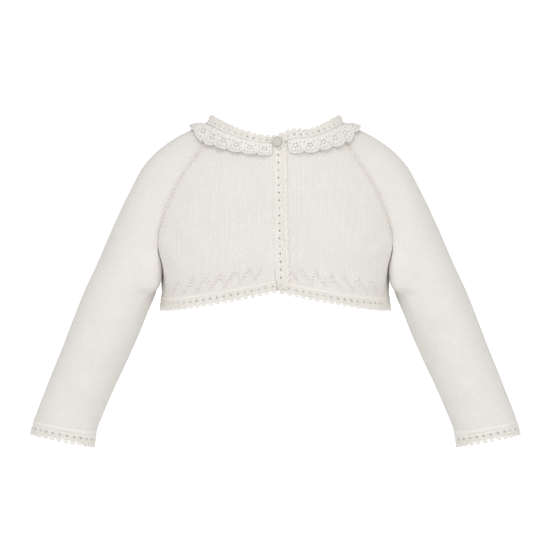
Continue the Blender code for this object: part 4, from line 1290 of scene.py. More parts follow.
def make_button():
    centre, normal = button_place()
    radius, rim, thick = BUTTON_RADIUS, BUTTON_RIM, BUTTON_THICKNESS
    profile = ((0.0, thick * 0.62), (radius * 0.35, thick * 0.60), (radius - 2 * rim, thick * 0.66),
               (radius - 1.3 * rim, thick * 0.86), (radius - rim, thick * 0.96), (radius - rim * 0.5, thick),
               (radius - rim * 0.15, thick * 0.88), (radius, thick * 0.6), (radius, thick * 0.35),
               (radius - rim * 0.4, thick * 0.1), (radius - rim, 0.0), (0.0, 0.0))
    return turned("button_shell", profile, BUTTON_SIDES, shell, centre, normal)


def make_loop():
    """The cord from the right edge round the button, crocheted, so its stitches swell along it."""
    centre, normal = button_place()
    across = Vector((1, 0, 0))
    upward = -across.cross(normal).normalized()
    steps, sides = LOOP_STEPS, LOOP_SIDES
    verts, faces = [], []
    for i in range(steps + 1):
        angle = math.radians(between(LOOP_ARC, i / steps))
        outward = across * math.cos(angle) + upward * math.sin(angle)
        spot = centre + outward * LOOP_RADIUS + normal * (LOOP_CORD + REST_GAP)
        swell = LOOP_CORD * (0.86 + 0.26 * abs(math.sin(math.pi * i / 6)))
        if i in (0, steps):
            swell *= 0.5
        verts += [tuple((spot + (outward * x + normal * y) * swell) * MM) for x, y in circle(sides)]
    for i in range(steps):
        for k in range(sides):
            a, b = i * sides + k, i * sides + (k + 1) % sides
            faces.append((a, b, b + sides, a + sides))
    faces.append(tuple(reversed(range(sides))))
    faces.append(tuple(range(steps * sides, (steps + 1) * sides)))
    return in_scene("loop_cord", smooth_mesh("loop_cord", verts, faces, crochet_face))


class Nodes:
    """A node tree being built, with short ways to add and join its nodes."""

    def __init__(self, tree):
        self.tree = tree

    def feed(self, socket, value):
        if isinstance(value, bpy.types.NodeSocket):
            self.tree.links.new(value, socket)
        else:
            socket.default_value = value

    def add(self, kind, inputs, **settings):
        """Adds a node, gives it its settings, feeds its inputs, and returns its outputs."""
        node = self.tree.nodes.new(kind)
        for name, value in settings.items():
            setattr(node, name, value)
        for socket, value in inputs.items():
            self.feed(node.inputs[socket], value)
        return node.outputs

    def maths(self, operation, first, second=0.0, third=0.0, clamp=False):
        inputs = {0: first, 1: second, 2: third}
        return self.add("ShaderNodeMath", inputs, operation=operation, use_clamp=clamp)[0]

    def noise(self, place, scale, detail=2.0, roughness=0.5):
        inputs = {"Vector": place, "Scale": scale, "Detail": detail, "Roughness": roughness}
        return self.add("ShaderNodeTexNoise", inputs)[0]

    def stretched(self, place, scale):
        return self.add("ShaderNodeMapping", {"Vector": place, "Scale": scale})[0]

    def split(self, place):
        return self.add("ShaderNodeSeparateXYZ", {0: place})[:2]

    def mixed(self, share, first, second):
        node = self.tree.nodes.new("ShaderNodeMix")
        node.data_type = "RGBA"
        self.feed(node.inputs["Factor"], share)
        colours = [socket for socket in node.inputs if socket.type == "RGBA"]
        for socket, value in zip(colours, (first, second)):
            self.feed(socket, value if isinstance(value, bpy.types.NodeSocket) else (*value, 1))
        return [socket for socket in node.outputs if socket.type == "RGBA"][0]

    def attribute(self, name):
        return self.add("ShaderNodeAttribute", {}, attribute_name=name)["Fac"]

    def group(self, tree, **inputs):
        return self.add("ShaderNodeGroup", inputs, node_tree=tree)

    def bump(self, height, strength, distance):
        return self.add("ShaderNodeBump", {"Height": height, "Strength": strength, "Distance": distance})["Normal"]


def node_group(name, kind, inputs, outputs):
    """A new node group: its nodes, what it is given and what it makes."""
    tree = bpy.data.node_groups.new(name, kind)
    for way, sockets in (("INPUT", inputs), ("OUTPUT", outputs)):
        for label, socket_kind, *value in sockets:
            socket = tree.interface.new_socket(label, in_out=way, socket_type=f"NodeSocket{socket_kind}")
            if value:
                socket.default_value = value[0]
    return Nodes(tree), tree.nodes.new("NodeGroupInput").outputs, tree.nodes.new("NodeGroupOutput").inputs


def shader_group(name, inputs, outputs):
    return node_group(name, "ShaderNodeTree", inputs, [(label, "Float") for label in outputs])


STITCH_INPUTS = (("Geometry", "Geometry"), ("Stitch", "Object"), ("Size", "Float", 1.0),
                 ("Unevenness", "Float", 0.08), ("Seed", "Int", 1), ("Finish", "Material"))


def stitch_tree():
    """Node tree that sets one stitch on every point: its X along run, its Z along face, a little uneven."""
    nodes, given, made = node_group("set stitches", "GeometryNodeTree", STITCH_INPUTS, [("Geometry", "Geometry")])

    def attribute(name, kind):
        return nodes.add("GeometryNodeInputNamedAttribute", {"Name": name}, data_type=kind)["Attribute"]

    def uneven(seed_step, reach):
        """A random number round a middle, from -reach to reach times the unevenness."""
        low, high = (nodes.maths("MULTIPLY", given["Unevenness"], end) for end in (-reach, reach))
        seed = nodes.maths("ADD", given["Seed"], seed_step)
        return nodes.add("FunctionNodeRandomValue", {2: low, 3: high, "Seed": seed}, data_type="FLOAT")[1]

    facing_out = nodes.add("FunctionNodeAlignRotationToVector", {"Vector": attribute("face", "FLOAT_VECTOR")},
                           axis="Z")[0]
    running = nodes.add("FunctionNodeAlignRotationToVector",
                        {"Rotation": facing_out, "Vector": attribute("run", "FLOAT_VECTOR")},
                        axis="X", pivot_axis="Z")[0]
    swing = nodes.add("FunctionNodeAxisAngleToRotation", {"Axis": (0, 0, 1), "Angle": uneven(17, 1.6)})[0]
    turned_stitch = nodes.add("FunctionNodeRotateRotation", {"Rotation": running, "Rotate By": swing},
                              rotation_space="LOCAL")[0]
    size = nodes.maths("MULTIPLY", attribute("size", "FLOAT"), given["Size"])
    size = nodes.maths("MULTIPLY", size, nodes.maths("ADD", uneven(5, 1.0), 1.0))
    shape = nodes.add("GeometryNodeObjectInfo", {"Object": given["Stitch"]})["Geometry"]
    stitches_set = nodes.add("GeometryNodeInstanceOnPoints", {
        "Points": given["Geometry"], "Instance": shape, "Rotation": turned_stitch, "Scale": size})[0]
    real = nodes.add("GeometryNodeRealizeInstances", {"Geometry": stitches_set})[0]
    smooth = nodes.add("GeometryNodeSetShadeSmooth", {"Geometry": real})[0]
    finished = nodes.add("GeometryNodeSetMaterial", {"Geometry": smooth, "Material": given["Finish"]})[0]
    nodes.feed(made["Geometry"], finished)
    return nodes.tree


def strand(name, parts, segments=6, rings=4):
    """A stitch made of plump strands, each given as its middle x and y, its turn and its three sizes."""
    form = bmesh.new()
    for x, y, turn, length, width, height in parts:
        made = bmesh.ops.create_uvsphere(form, u_segments=segments, v_segments=rings, radius=0.5)
        turning = Matrix.Rotation(math.radians(turn), 4, "Z")
        sizing = Matrix.Diagonal((length * MM, width * MM, height * MM, 1))
        placing = Matrix.Translation((x * MM, y * MM, 0)) @ turning @ sizing @ Matrix.Rotation(math.pi / 2, 4, "Y")
        bmesh.ops.transform(form, matrix=placing, verts=made["verts"])
    return shape_object(name, form)


def shape_object(name, form):
    mesh = bpy.data.meshes.new(name)
    form.to_mesh(mesh)
    form.free()
    return in_scene(name, mesh)


def eyelet_shape(name, radius, cord, segments=10, sides=4):
    """The worked ring round an eyelet."""
    form = bmesh.new()
    rings = [[form.verts.new(Vector(((radius + cord * out) * x, (radius + cord * out) * y, cord * up)) * MM)
              for out, up in circle(sides, 0.5)] for x, y in circle(segments)]
    for i in range(segments):
        here, there = rings[i], rings[(i + 1) % segments]
        for k in range(sides):
            form.faces.new((here[k], there[k], there[(k + 1) % sides], here[(k + 1) % sides]))
    return shape_object(name, form)


def set_stitches(name, sets, finish, unevenness=0.08):
    """Sets stitches of each shape on their spots, and joins them as one piece."""
    joined = bmesh.new()
    for number, (shape, spots) in enumerate(sets):
        places = np.concatenate([spot[0] for spot in spots])
        points = bpy.data.meshes.new(f"{name}_{number}")
        points.from_pydata((places * MM).tolist(), [], [])
        for label, kind, column in (("run", "FLOAT_VECTOR", 1), ("face", "FLOAT_VECTOR", 2), ("size", "FLOAT", 3)):
            values = np.concatenate([spot[column] for spot in spots]).astype(np.float32)
            layer = points.attributes.new(label, kind, "POINT")
            layer.data.foreach_set("value" if kind == "FLOAT" else "vector", values.ravel())
        holder = in_scene(f"{name}_{number}", points)
        setter = holder.modifiers.new("stitches", "NODES")
        setter.node_group = stitch_nodes
        values = {"Stitch": stitch_shapes[shape], "Size": 1.0, "Unevenness": unevenness,
                  "Seed": 3 + 11 * number, "Finish": finish}
        for socket in stitch_nodes.interface.items_tree:
            if socket.in_out == "INPUT" and socket.name in values:
                setter[socket.identifier] = values[socket.name]
        holder.update_tag()
        bpy.context.view_layer.update()
        evaluated = holder.evaluated_get(bpy.context.evaluated_depsgraph_get())
        made = bpy.data.meshes.new_from_object(evaluated)
        joined.from_mesh(made)
        bpy.data.objects.remove(holder, do_unlink=True)
        bpy.data.meshes.remove(points)
        bpy.data.meshes.remove(made)
    mesh = bpy.data.meshes.new(name)
    joined.to_mesh(mesh)
    joined.free()
    mesh.materials.clear()
    mesh.materials.append(finish)
    mesh.shade_smooth()
    return in_scene(name, mesh)


# The zigzag: wales from stroke to stroke, bumps in one stroke, the rise of each and of the first, and the rises
# of the two bumps that come down again
ZIGZAG_WALES, ZIGZAG_BUMPS, ZIGZAG_STEP, ZIGZAG_FOOT, ZIGZAG_DROP = 7, 6, 2.3, 3.2, (8.0, 10.6)

# How far the purl bumps and the marks of the decreases stand out, their size, and the marks' pitch and slant
BUMP_PROUD, BUMP_SIZE, MARK_PROUD, MARK_PITCH, MARK_SLANT = 0.42, 1.12, 0.32, 2.5, 24
BODY_MARKS, SLEEVE_MARKS = (0.2, 2.1, 4.0), (1.9,)

# Strokes of the zigzag on each piece: the way they lean, and from where to where along it
ZIGZAGS = {
    "right_front": [(-1, 12, 104)],
    "left_front": [(1, -102, -14)],
    "back": [(1, -104, -1), (-1, 1, 104)],
}


def zigzag_dip_and_shade(panel, strokes, row_of, s):
    """The knit sinks a little beside each stroke of purl bumps; the dip also sets painted shade there."""
    rise = panel.rise(row_of, s)
    dip = np.zeros(len(s))
    for lean, first, last in strokes:
        climb_of = (rise - ZIGZAG_FOOT) / ZIGZAG_STEP
        off = np.mod(s / WALE - lean * (climb_of - ZIGZAG_BUMPS / 2) + ZIGZAG_WALES / 2, ZIGZAG_WALES)
        off = (off - ZIGZAG_WALES / 2) * WALE + lean * 0.9
        inside = soft_step(climb_of + 1.0) * soft_step(ZIGZAG_BUMPS - climb_of)
        broken = 0.25 + 0.75 * np.cos(math.pi * (climb_of + 0.35 * np.sin(1.7 * s)))**2
        dip += np.where((s > first) & (s < last), bell(off, 1.0) * inside * broken, 0)
    return dip


def zigzag(panel, lean, first, last):
    """Strokes of purl bumps above the hem, each climbing one wale and a few courses at a time."""
    body = np.arange(WAIST, len(panel.points))
    rows_of, s_of = [], []

    def add(s, rise, aside):
        column = panel.column([s] * len(body), WAIST)
        # Height of the creases at points seen from the front.
        rows_of.append(float(np.interp(rise, lengths_along(column[::-1]), body[::-1])))
        s_of.append(s + aside)

    for stroke in range(math.ceil(first / WALE / ZIGZAG_WALES), math.floor(last / WALE / ZIGZAG_WALES) + 1):
        for bump in range(ZIGZAG_BUMPS):
            s = (stroke * ZIGZAG_WALES + lean * (bump - ZIGZAG_BUMPS / 2)) * WALE
            if not first < s < last:
                continue
            rise = ZIGZAG_FOOT + ZIGZAG_STEP * bump + 0.45 * math.sin(7.3 * stroke + 3.1 * bump)
            sway = 0.3 * math.cos(5.1 * stroke + 2.3 * bump)
            add(s, rise, sway)
            if bump >= 3 + stroke % 2:
                add(s, rise - 0.7, lean * 1.9 + sway)
        s = (stroke * ZIGZAG_WALES + lean * (ZIGZAG_BUMPS + 1) / 2) * WALE
        for rise in ZIGZAG_DROP if first < s < last else ():
            sway = math.sin(4.7 * stroke + rise)
            add(s, rise + 0.6 * sway, -lean * 0.7 * sway)
    size = BUMP_SIZE + 0.2 * np.sin(1.9 * np.arange(len(s_of)))
    return panel.stitch(rows_of, s_of, BUMP_PROUD, size)


def raglan_marks(panel, which, inset, shift):
    """The line of small stitches that the decreases leave beside a raglan seam, inset from it."""
    inward = -1 if which else 1
    line = panel.column(span[which] + inward * inset for span in panel.spans[:WAIST])
    rows_of = panel.rows_along(line, MARK_PITCH)
    step = np.gradient(rows_of)
    rows_of = rows_of[:-1] + shift * step[:-1]
    size = 1 + 0.18 * np.sin(2.1 * np.arange(len(rows_of)) + 5 * inset)
    s_of = panel.end(which, rows_of) + inward * inset
    return panel.stitch(rows_of, s_of, MARK_PROUD, size, MARK_SLANT * inward)


def knit_stitches(name, panel, zigzags, seam_sides, insets):
    """The marks beside the raglan seams of a knitted piece, and its zigzag."""
    sets = [("mark", [raglan_marks(panel, which, inset, 0.5 * (k % 2))
                      for which in seam_sides for k, inset in enumerate(insets)])]
    if zigzags:
        sets.append(("bump", [zigzag(panel, *stroke) for stroke in zigzags]))
    return set_stitches(name, sets, knit_plain, 0.12)


# Stitches in each repeat of a band's rows, and how far the rows of small ones stand out and swing
HALF_EACH, GRAIN_EACH, UPPER_PROUD, CHAIN_PROUD, LOW_PROUD = 6, 3, 0.38, 0.4, 0.05
UPPER_SWING, CHAIN_SWING, POST_SWING, RIDGE_PROUD, RIDGE_SWING = 34, 36, 90, 0.45, 16
SEAM_ROW_DEPTH, SEAM_ROW_PROUD, SEAM_ROW_SIZE, SEAM_ROW_SWING = 0.1, 0.08, 0.9, 22


def row(patch, each, depth, proud, size=1.0, swing=0.0, start=0.5, zigzag=0.0):
    """A row of stitches along a band, so many in each repeat, depth millimetres from its seam.

    Zigzag swings every second one the other way.
    """
    count = np.arange(patch.cells * each)
    other = np.where(count % 2, 1.0, -1.0)
    return patch.stitch((count + start) / each, depth / patch.width, proud, size, swing + zigzag * other)


def band_stitches(name, patch, eyelet_at, chain_at, ridge_at=None, tuck=0.0, eyelet_size=1.0,
                  picot_share=PICOT_SHARE):
    """Everything that is crocheted on a band: its rows, the posts and rings of its eyelets and its picots."""
    root = patch.width * (1 - picot_share)
    sets = [
        ("half", [row(patch, HALF_EACH, (eyelet_at - 1.4) / 2 + 0.3, UPPER_PROUD, zigzag=UPPER_SWING),
                  row(patch, HALF_EACH, chain_at, CHAIN_PROUD, zigzag=CHAIN_SWING)]),
        ("post", [row(patch, 1, eyelet_at, LOW_PROUD, swing=POST_SWING, start=start) for start in (0.91, 0.09)]),
        ("eyelet", [row(patch, 1, eyelet_at, 0.1, eyelet_size)]),
        ("picot", [row(patch, 1, patch.width - 3.1, -0.15 - 0.55 * tuck)]),
    ]
    if root - chain_at > 2.6:
        between_rows = (root + chain_at) / 2 - 0.2
        sets.append(("half", [row(patch, HALF_EACH, between_rows, LOW_PROUD, zigzag=-CHAIN_SWING)]))
    if ridge_at is not None:
        sets.append(("grain", [row(patch, GRAIN_EACH, ridge_at, RIDGE_PROUD, swing=RIDGE_SWING)]))
    sets.append(("grain", [row(patch, GRAIN_EACH, SEAM_ROW_DEPTH, SEAM_ROW_PROUD, SEAM_ROW_SIZE, SEAM_ROW_SWING)]))
    return set_stitches(name, sets, crochet_face)


def knit_stitches_group():
    """Height of stocking stitch from a place in wales and courses: the two legs of each stitch make a V."""
    shading, given, made = shader_group("knit stitches", (("Place", "Vector"), ("Slant", "Float", 0.55)),
                                        ("Height", "Gap"))
    wale, course = shading.split(given["Place"])
    half = shading.maths("MULTIPLY", shading.maths("ABSOLUTE", shading.maths(
        "SUBTRACT", shading.maths("FRACT", wale), 0.5)), 2.0)
    ply = shading.maths("FRACT", shading.maths("MULTIPLY_ADD", half, given["Slant"], course))
    across = shading.maths("MULTIPLY_ADD", half, 2.0, -1.0)
    up = shading.maths("MULTIPLY_ADD", ply, 2.0, -1.0)
    round_across = shading.maths("SUBTRACT", 1.0, shading.maths("MULTIPLY", across, across))
    round_up = shading.maths("SUBTRACT", 1.0, shading.maths("MULTIPLY", up, up))
    height = shading.maths("SQRT", shading.maths("MULTIPLY", round_across, round_up, clamp=True))
    shading.feed(made["Height"], height)
    # Painted shade between the legs of the stitches
    shading.feed(made["Gap"], shading.maths("POWER", shading.maths("SUBTRACT", 1.0, height), 3.0))
    return shading.tree


def purl_stitches_group():
    """Height of the inside of stocking stitch: rows of rounded bumps that interlock."""
    shading, given, made = shader_group("purl stitches", (("Place", "Vector"),), ("Height", "Gap"))
    wale, course = shading.split(given["Place"])
    swing = shading.maths("MULTIPLY", shading.maths("SINE", shading.maths("MULTIPLY", wale, 2 * math.pi)), 0.28)
    row_of = shading.maths("ABSOLUTE", shading.maths("SINE", shading.maths(
        "MULTIPLY", shading.maths("ADD", course, swing), math.pi)))
    shading.feed(made["Height"], row_of)
    # Painted shade between the rows of bumps
    shading.feed(made["Gap"], shading.maths("POWER", shading.maths("SUBTRACT", 1.0, row_of), 2.0))
    return shading.tree


def yarn_fibres_group():
    """Fine fuzz of the yarn, and the slow unevenness of its tone."""
    shading, given, made = shader_group("yarn fibres", (("Place", "Vector"), ("Fineness", "Float", 2600.0)),
                                        ("Fuzz", "Tone"))
    fine = shading.noise(given["Place"], given["Fineness"], 3.0, 0.6)
    slow = shading.noise(given["Place"], 38.0, 3.0, 0.55)
    middle = shading.noise(given["Place"], 310.0, 2.0, 0.5)
    shading.feed(made["Fuzz"], fine)
    shading.feed(made["Tone"], shading.maths("MULTIPLY_ADD", middle, 0.45, shading.maths("MULTIPLY", slow, 0.55)))
    return shading.tree


knit_stitches_tree = knit_stitches_group()
purl_stitches_tree = purl_stitches_group()
yarn_fibres_tree = yarn_fibres_group()


def new_finish(name, roughness):
    finish = bpy.data.materials.new(name)
    finish.use_nodes = True
    shader = finish.node_tree.nodes["Principled BSDF"]
    shader.inputs["Roughness"].default_value = roughness
    return finish, Nodes(finish.node_tree), shader.inputs


def object_place(shading):
    return shading.add("ShaderNodeTexCoord", {})["Object"]


# The near-black painted shade of the deepest places, such as eyelets, and how deep the painted shade must be for it
DEEP_SHADE, DEEP_FROM = (0.20, 0.175, 0.14), 0.86
MIDDLE_TONE, SPECKLE_SHARE, FUZZ_SHARE, YARN_ROUGHNESS = 0.62, 0.22, 0.35, 0.88


def yarn_finish(name, lit, shade, stitches_tree=None, hollow_share=0.26, gap_shade_share=0.12, tone_share=0.06,
                bump_height=0.0004, deep_shade_share=0.0):
    """Soft matt yarn, with painted shade in the hollows and between the stitches."""
    finish, shading, inputs = new_finish(name, YARN_ROUGHNESS)
    place = object_place(shading)
    yarn = shading.group(yarn_fibres_tree, Place=place)
    hollow = shading.maths("MULTIPLY", shading.attribute("hollow"), hollow_share)
    tone = shading.maths("MULTIPLY", shading.maths("SUBTRACT", MIDDLE_TONE, yarn["Tone"]), tone_share * 4)
    depth = shading.maths("ADD", hollow, tone)
    height = shading.maths("MULTIPLY", yarn["Fuzz"], FUZZ_SHARE)
    if stitches_tree:
        uv = shading.add("ShaderNodeUVMap", {}, uv_map="stitches")["UV"]
        stitch = shading.group(stitches_tree, Place=uv)
        depth = shading.maths("MULTIPLY_ADD", stitch["Gap"], gap_shade_share, depth)
        speckle = shading.noise(shading.stretched(uv, (1.0, 0.8, 1.0)), 0.9, 1.0, 0.5)
        depth = shading.maths("MULTIPLY_ADD", shading.maths("SUBTRACT", speckle, 0.5), SPECKLE_SHARE, depth)
        height = shading.maths("ADD", height, stitch["Height"])
    share = shading.maths("MAXIMUM", depth, 0.0, clamp=True)
    deep_shade = shading.maths("SUBTRACT", shading.attribute("hollow"), DEEP_FROM)
    deep_shade = shading.maths("MULTIPLY", deep_shade, 8.0, clamp=True)
    deep_shade = shading.maths("MULTIPLY", deep_shade, deep_shade_share)
    # Lit yarn mixed towards shaded yarn by painted shade and random tone, then towards near-black painted shade
    shading.feed(inputs["Base Color"], shading.mixed(deep_shade, shading.mixed(share, lit, shade), DEEP_SHADE))
    shading.feed(inputs["Normal"], shading.bump(height, 0.6, bump_height))
    for name, value in (("Sheen Weight", 0.12), ("Sheen Roughness", 0.5), ("Specular IOR Level", 0.2)):
        shading.feed(inputs[name], value)
    return finish


def shell_finish(name, light, dark, glint):
    """Cloudy shell: pale and dark layers drift across it under a polished face, with painted glints in random spots.
    """
    finish, shading, inputs = new_finish(name, 0.28)
    place = object_place(shading)
    cloud = shading.noise(shading.stretched(place, (1.0, 1.0, 2.4)), 260.0, 3.0, 0.6)
    layer = shading.maths("SINE", shading.maths("MULTIPLY", cloud, 26.0))
    drift = shading.mixed(shading.maths("MULTIPLY_ADD", layer, 0.35, 0.5), dark, light)
    shading.feed(inputs["Base Color"], shading.mixed(shading.maths(
        "GREATER_THAN", shading.noise(place, 420.0), 0.64), drift, glint))
    for name, value in (("Specular IOR Level", 0.5), ("Coat Weight", 0.3), ("Coat Roughness", 0.12)):
        shading.feed(inputs[name], value)
    return finish


# Lit and shaded colours of each yarn: the finishes paint shade by mixing them
IVORY_LIT, IVORY_SHADE = (0.915, 0.888, 0.842), (0.50, 0.45, 0.38)
CROCHET_LIT, LACE_LIT, LACE_SHADE = (0.885, 0.86, 0.81), (0.862, 0.837, 0.80), (0.50, 0.45, 0.40)
knit_face = yarn_finish("knit_face", IVORY_LIT, IVORY_SHADE, knit_stitches_tree)
knit_inside = yarn_finish("knit_inside", IVORY_LIT, IVORY_SHADE, purl_stitches_tree)
knit_plain = yarn_finish("knit_plain", IVORY_LIT, IVORY_SHADE)
crochet_face = yarn_finish("crochet_face", CROCHET_LIT, IVORY_SHADE, hollow_share=0.4, bump_height=0.0003,
                           deep_shade_share=1.0)
lace_face = yarn_finish("lace_face", LACE_LIT, LACE_SHADE, bump_height=0.0003)
shell = shell_finish("grey_shell", (0.67, 0.65, 0.59), (0.53, 0.52, 0.45), (0.72, 0.71, 0.65))

# Strands that each stitch is made of: middle x and y, turn in degrees, length, width and height
STRANDS = {
    "grain": [(0, 0, 0, 2.5, 1.25, 1.05)],
    "half": [(0, 0, 0, 1.75, 0.95, 0.85)],
    "post": [(0, 0, 0, 3.4, 1.15, 0.95)],
    "picot": [(r * math.sin(math.radians(a)), r * math.cos(math.radians(a)), 90 - a, 2.2, 1.5, 1.5)
              for a, r in ((-58, 1.95), (-30, 2.1), (0, 2.05), (30, 2.1), (58, 1.95))],
    "bump": [(0, 0, 0, 2.3, 1.25, 1.5)],
    "mark": [(0, 0, 0, 1.65, 1.25, 1.4)],
    "edge": [(0, 0, 24, 1.9, 1.35, 1.4)],
}
EYELET_RING_RADIUS, EYELET_RING_CORD = 1.35, 0.36
stitch_nodes = stitch_tree()
stitch_shapes = {name: strand(name, parts) for name, parts in STRANDS.items()}
stitch_shapes["eyelet"] = eyelet_shape("eyelet", EYELET_RING_RADIUS, EYELET_RING_CORD)

patches = {
    "neck_band": neck_band_patch(),
    "hem_band": hem_band_patch(),
    "right_front_band": right_band_patch(),
    "left_front_band": left_band_patch(),
    "right_cuff": cuff_patch(-1),
    "left_cuff": cuff_patch(1),
    "lace_collar": lace_patch(),
}
FRONT_TUCK, FRONT_PICOT_SHARE, FRONT_PICOT_HALF_WIDTH = 1.7, 0.17, 0.455

# Rows of each band, in millimetres from its seam: its eyelets and its chain. The front's chain differs
NECK_ROWS, HEM_ROWS, CUFF_ROWS, FRONT_EYELETS = (3.6, 6.3), (5.0, 7.6), (6.6, 9.4), 4.8
neck_cells = patches["neck_band"].cells


def neck_eyelet_is_open(c):
    return c in (3, 4) or neck_cells - c in (3, 4, 7) or (12 < c < neck_cells - 12 and c % 6 < 2)


def band(node, ridge_at, rows, **form):
    """rows says where the eyelets and the chain are."""
    return make_band(node.replace("_band", "") + "_crochet", patches[node], ridge_at, *rows, **form)


knitted = {
    "right_front": make_front("right_front_knit", -1, ZIGZAGS["right_front"]),
    "left_front": make_front("left_front_knit", 1, ZIGZAGS["left_front"]),
    "back": make_back("back_knit", ZIGZAGS["back"]),
    "right_sleeve": make_sleeve("right_sleeve_knit", -1),
    "left_sleeve": make_sleeve("left_sleeve_knit", 1),
}
panels = {node: panel for node, (_, panel) in knitted.items()}
pieces = {
    **{node: piece for node, (piece, _) in knitted.items()},
    "neck_band": band("neck_band", 1.5, NECK_ROWS, eyelet_size=0.9, is_open=neck_eyelet_is_open),
    "hem_band": band("hem_band", 1.2, HEM_ROWS, is_open=lambda c: 5 <= c % 21 <= 12),
    "right_front_band": band("right_front_band", 8.2, (FRONT_EYELETS, 2.0), pitch=FRONT_PICOT_PITCH,
                             tuck=FRONT_TUCK, is_open=lambda c: c % 5 != 3, slit=0.6, notch=0.12,
                             picot_share=FRONT_PICOT_SHARE, half_width=FRONT_PICOT_HALF_WIDTH),
    "left_front_band": band("left_front_band", 8.2, (FRONT_EYELETS, 2.0), eyelet_size=1.15,
                            pitch=FRONT_PICOT_PITCH),
    "right_cuff": band("right_cuff", 1.8, CUFF_ROWS),
    "left_cuff": band("left_cuff", 1.8, CUFF_ROWS),
    "lace_collar": make_lace("lace_frill", patches["lace_collar"]),
    "button": make_button(),
    "button_loop": make_loop(),
}

BAND_STITCHES = {
    "neck_band": ("neck_stitches", *NECK_ROWS, 1.3),
    "hem_band": ("hem_stitches", *HEM_ROWS),
    "right_front_band": ("right_front_band_stitches", FRONT_EYELETS, 7.4, 8.6, FRONT_TUCK, 0.82, FRONT_PICOT_SHARE),
    "right_cuff": ("right_cuff_stitches", *CUFF_ROWS),
    "left_cuff": ("left_cuff_stitches", *CUFF_ROWS),
}
stitches = {node: band_stitches(name, patches[node], *form) for node, (name, *form) in BAND_STITCHES.items()}
stitches["lace_collar"] = lace_edging("lace_edging", patches["lace_collar"])
for node, seam_sides in (("right_front", (1,)), ("left_front", (0,)), ("back", (0, 1)),
                         ("right_sleeve", (0, 1)), ("left_sleeve", (0, 1))):
    insets = SLEEVE_MARKS if "sleeve" in node else BODY_MARKS
    stitches[node] = knit_stitches(f"{node}_stitches", panels[node], ZIGZAGS.get(node), seam_sides, insets)
for shape in stitch_shapes.values():
    bpy.data.objects.remove(shape, do_unlink=True)


SLOTS = {"button": "grey_shell", "lace_collar": "ivory_lace", "right_front": "ivory_knit",
         "left_front": "ivory_knit", "back": "ivory_knit", "right_sleeve": "ivory_knit", "left_sleeve": "ivory_knit"}
RESTS_ON = {"right_front": ["left_front_knit"], "right_front_band": ["left_front_knit"],
            "lace_collar": ["right_front_knit", "left_front_knit", "back_knit", "right_sleeve_knit",
                            "left_sleeve_knit"]}


def declare(node, piece):
    """Says what a piece stands for, its finish, and the cut of its cloth."""
    slot = SLOTS.get(node, "ivory_crochet")
    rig.ride(piece, "root")
    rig.replaces(piece, node)
    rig.slot(piece, slot)
    worked = [stitches[node]] if node in stitches else []
    for stitch in worked:
        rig.ride(stitch, "root")
        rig.slot(stitch, slot)
    if node in ("button", "button_loop"):
        return
    width, length, area = (round(number, 5) for number in (panels.get(node) or patches[node]).cut())
    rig.sheet(piece, flat=(width, length), held="gathered" if node == "lace_collar" else "hung",
             rests_on=RESTS_ON.get(node, []), area=min(area, width * length), with_pieces=worked)


for node, piece in pieces.items():
    declare(node, piece)


# The camera is level with the garment, at this distance, and the photograph's frame is this wide there. All of the
# studio is in metres
CAMERA_DISTANCE, FRAME_WIDTH, FRAME_MIDDLE = 2.2, 0.5225, (-0.0003, -0.136)
FLOOR_HEIGHT, FLOOR_END, FLOOR_BEND, FLOOR_REACH, FLOOR_HALF_WIDTH = -0.62, 4.0, 2.0, 6.0, 8.0
MIDDLE, BEHIND = (0, 0, -0.15), (0, 5.2, -0.2)

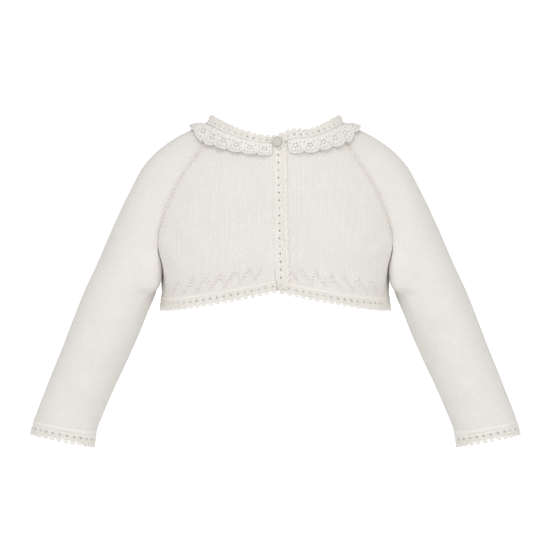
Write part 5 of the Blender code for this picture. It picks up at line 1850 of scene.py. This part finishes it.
# Round soft lights: name, place, what it faces, width and power
LIGHTS = (
    ("key", (-0.2, -1.5, 1.7), MIDDLE, 1.6, 12.5),
    ("front", (0, -1.9, -0.1), MIDDLE, 1.0, 5.8),
    ("fill_left", (-1.9, -1.4, 0.3), MIDDLE, 2.0, 5.4),
    ("fill_right", (1.9, -1.4, 0.3), MIDDLE, 2.0, 7),
    ("backdrop_left", (-1.8, 2.4, 1.8), BEHIND, 1.5, 90),
    ("backdrop_right", (1.8, 2.4, 1.8), BEHIND, 1.5, 90),
)
SURROUNDING_LIGHT = 0.52


def camera_view():
    eye = bpy.data.cameras.new("view")
    eye.lens = eye.sensor_width * CAMERA_DISTANCE / FRAME_WIDTH
    eye.clip_end = 50
    camera = in_scene("view", eye)
    camera.location = (FRAME_MIDDLE[0], -CAMERA_DISTANCE, FRAME_MIDDLE[1])
    camera.rotation_euler = (math.radians(90), 0, 0)
    bpy.context.scene.camera = camera


def soft_light(name, spot, target, size, power):
    lamp = bpy.data.lights.new(name, "AREA")
    lamp.shape, lamp.size, lamp.energy = "DISK", size, power
    light = in_scene(name, lamp)
    light.location = spot
    light.rotation_euler = (Vector(target) - Vector(spot)).to_track_quat("-Z", "Y").to_euler()


def stage():
    """A pale floor that curves up far behind, as in a photographer's studio."""
    turns = [math.radians(90 * k / 12) for k in range(13)]
    curve = [(FLOOR_END + FLOOR_BEND * math.sin(turn), FLOOR_HEIGHT + FLOOR_BEND * (1 - math.cos(turn)))
             for turn in turns]
    profile = [(-FLOOR_REACH, FLOOR_HEIGHT), *curve, (FLOOR_REACH, FLOOR_REACH)]
    verts = [(x, y, z) for y, z in profile for x in (-FLOOR_HALF_WIDTH, FLOOR_HALF_WIDTH)]
    faces = [(2 * i, 2 * i + 1, 2 * i + 3, 2 * i + 2) for i in range(len(profile) - 1)]
    finish, shading, inputs = new_finish("studio_floor", 1.0)
    shading.feed(inputs["Base Color"], (0.9, 0.9, 0.9, 1))
    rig.stage(in_scene("studio_floor", smooth_mesh("studio_floor", verts, faces, finish)))


camera_view()
stage()
for light in LIGHTS:
    soft_light(*light)
world = bpy.data.worlds.new("studio")
world.use_nodes = True
surroundings = world.node_tree.nodes["Background"].inputs
surroundings["Color"].default_value = (1, 1, 1, 1)
surroundings["Strength"].default_value = SURROUNDING_LIGHT
bpy.context.scene.world = world
bpy.context.scene.view_settings.view_transform = "Standard"

with open("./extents.json", "w") as sizes:
    json.dump({"cad": cad_box, "visual": [list(corner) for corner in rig.bounds()]}, sizes)
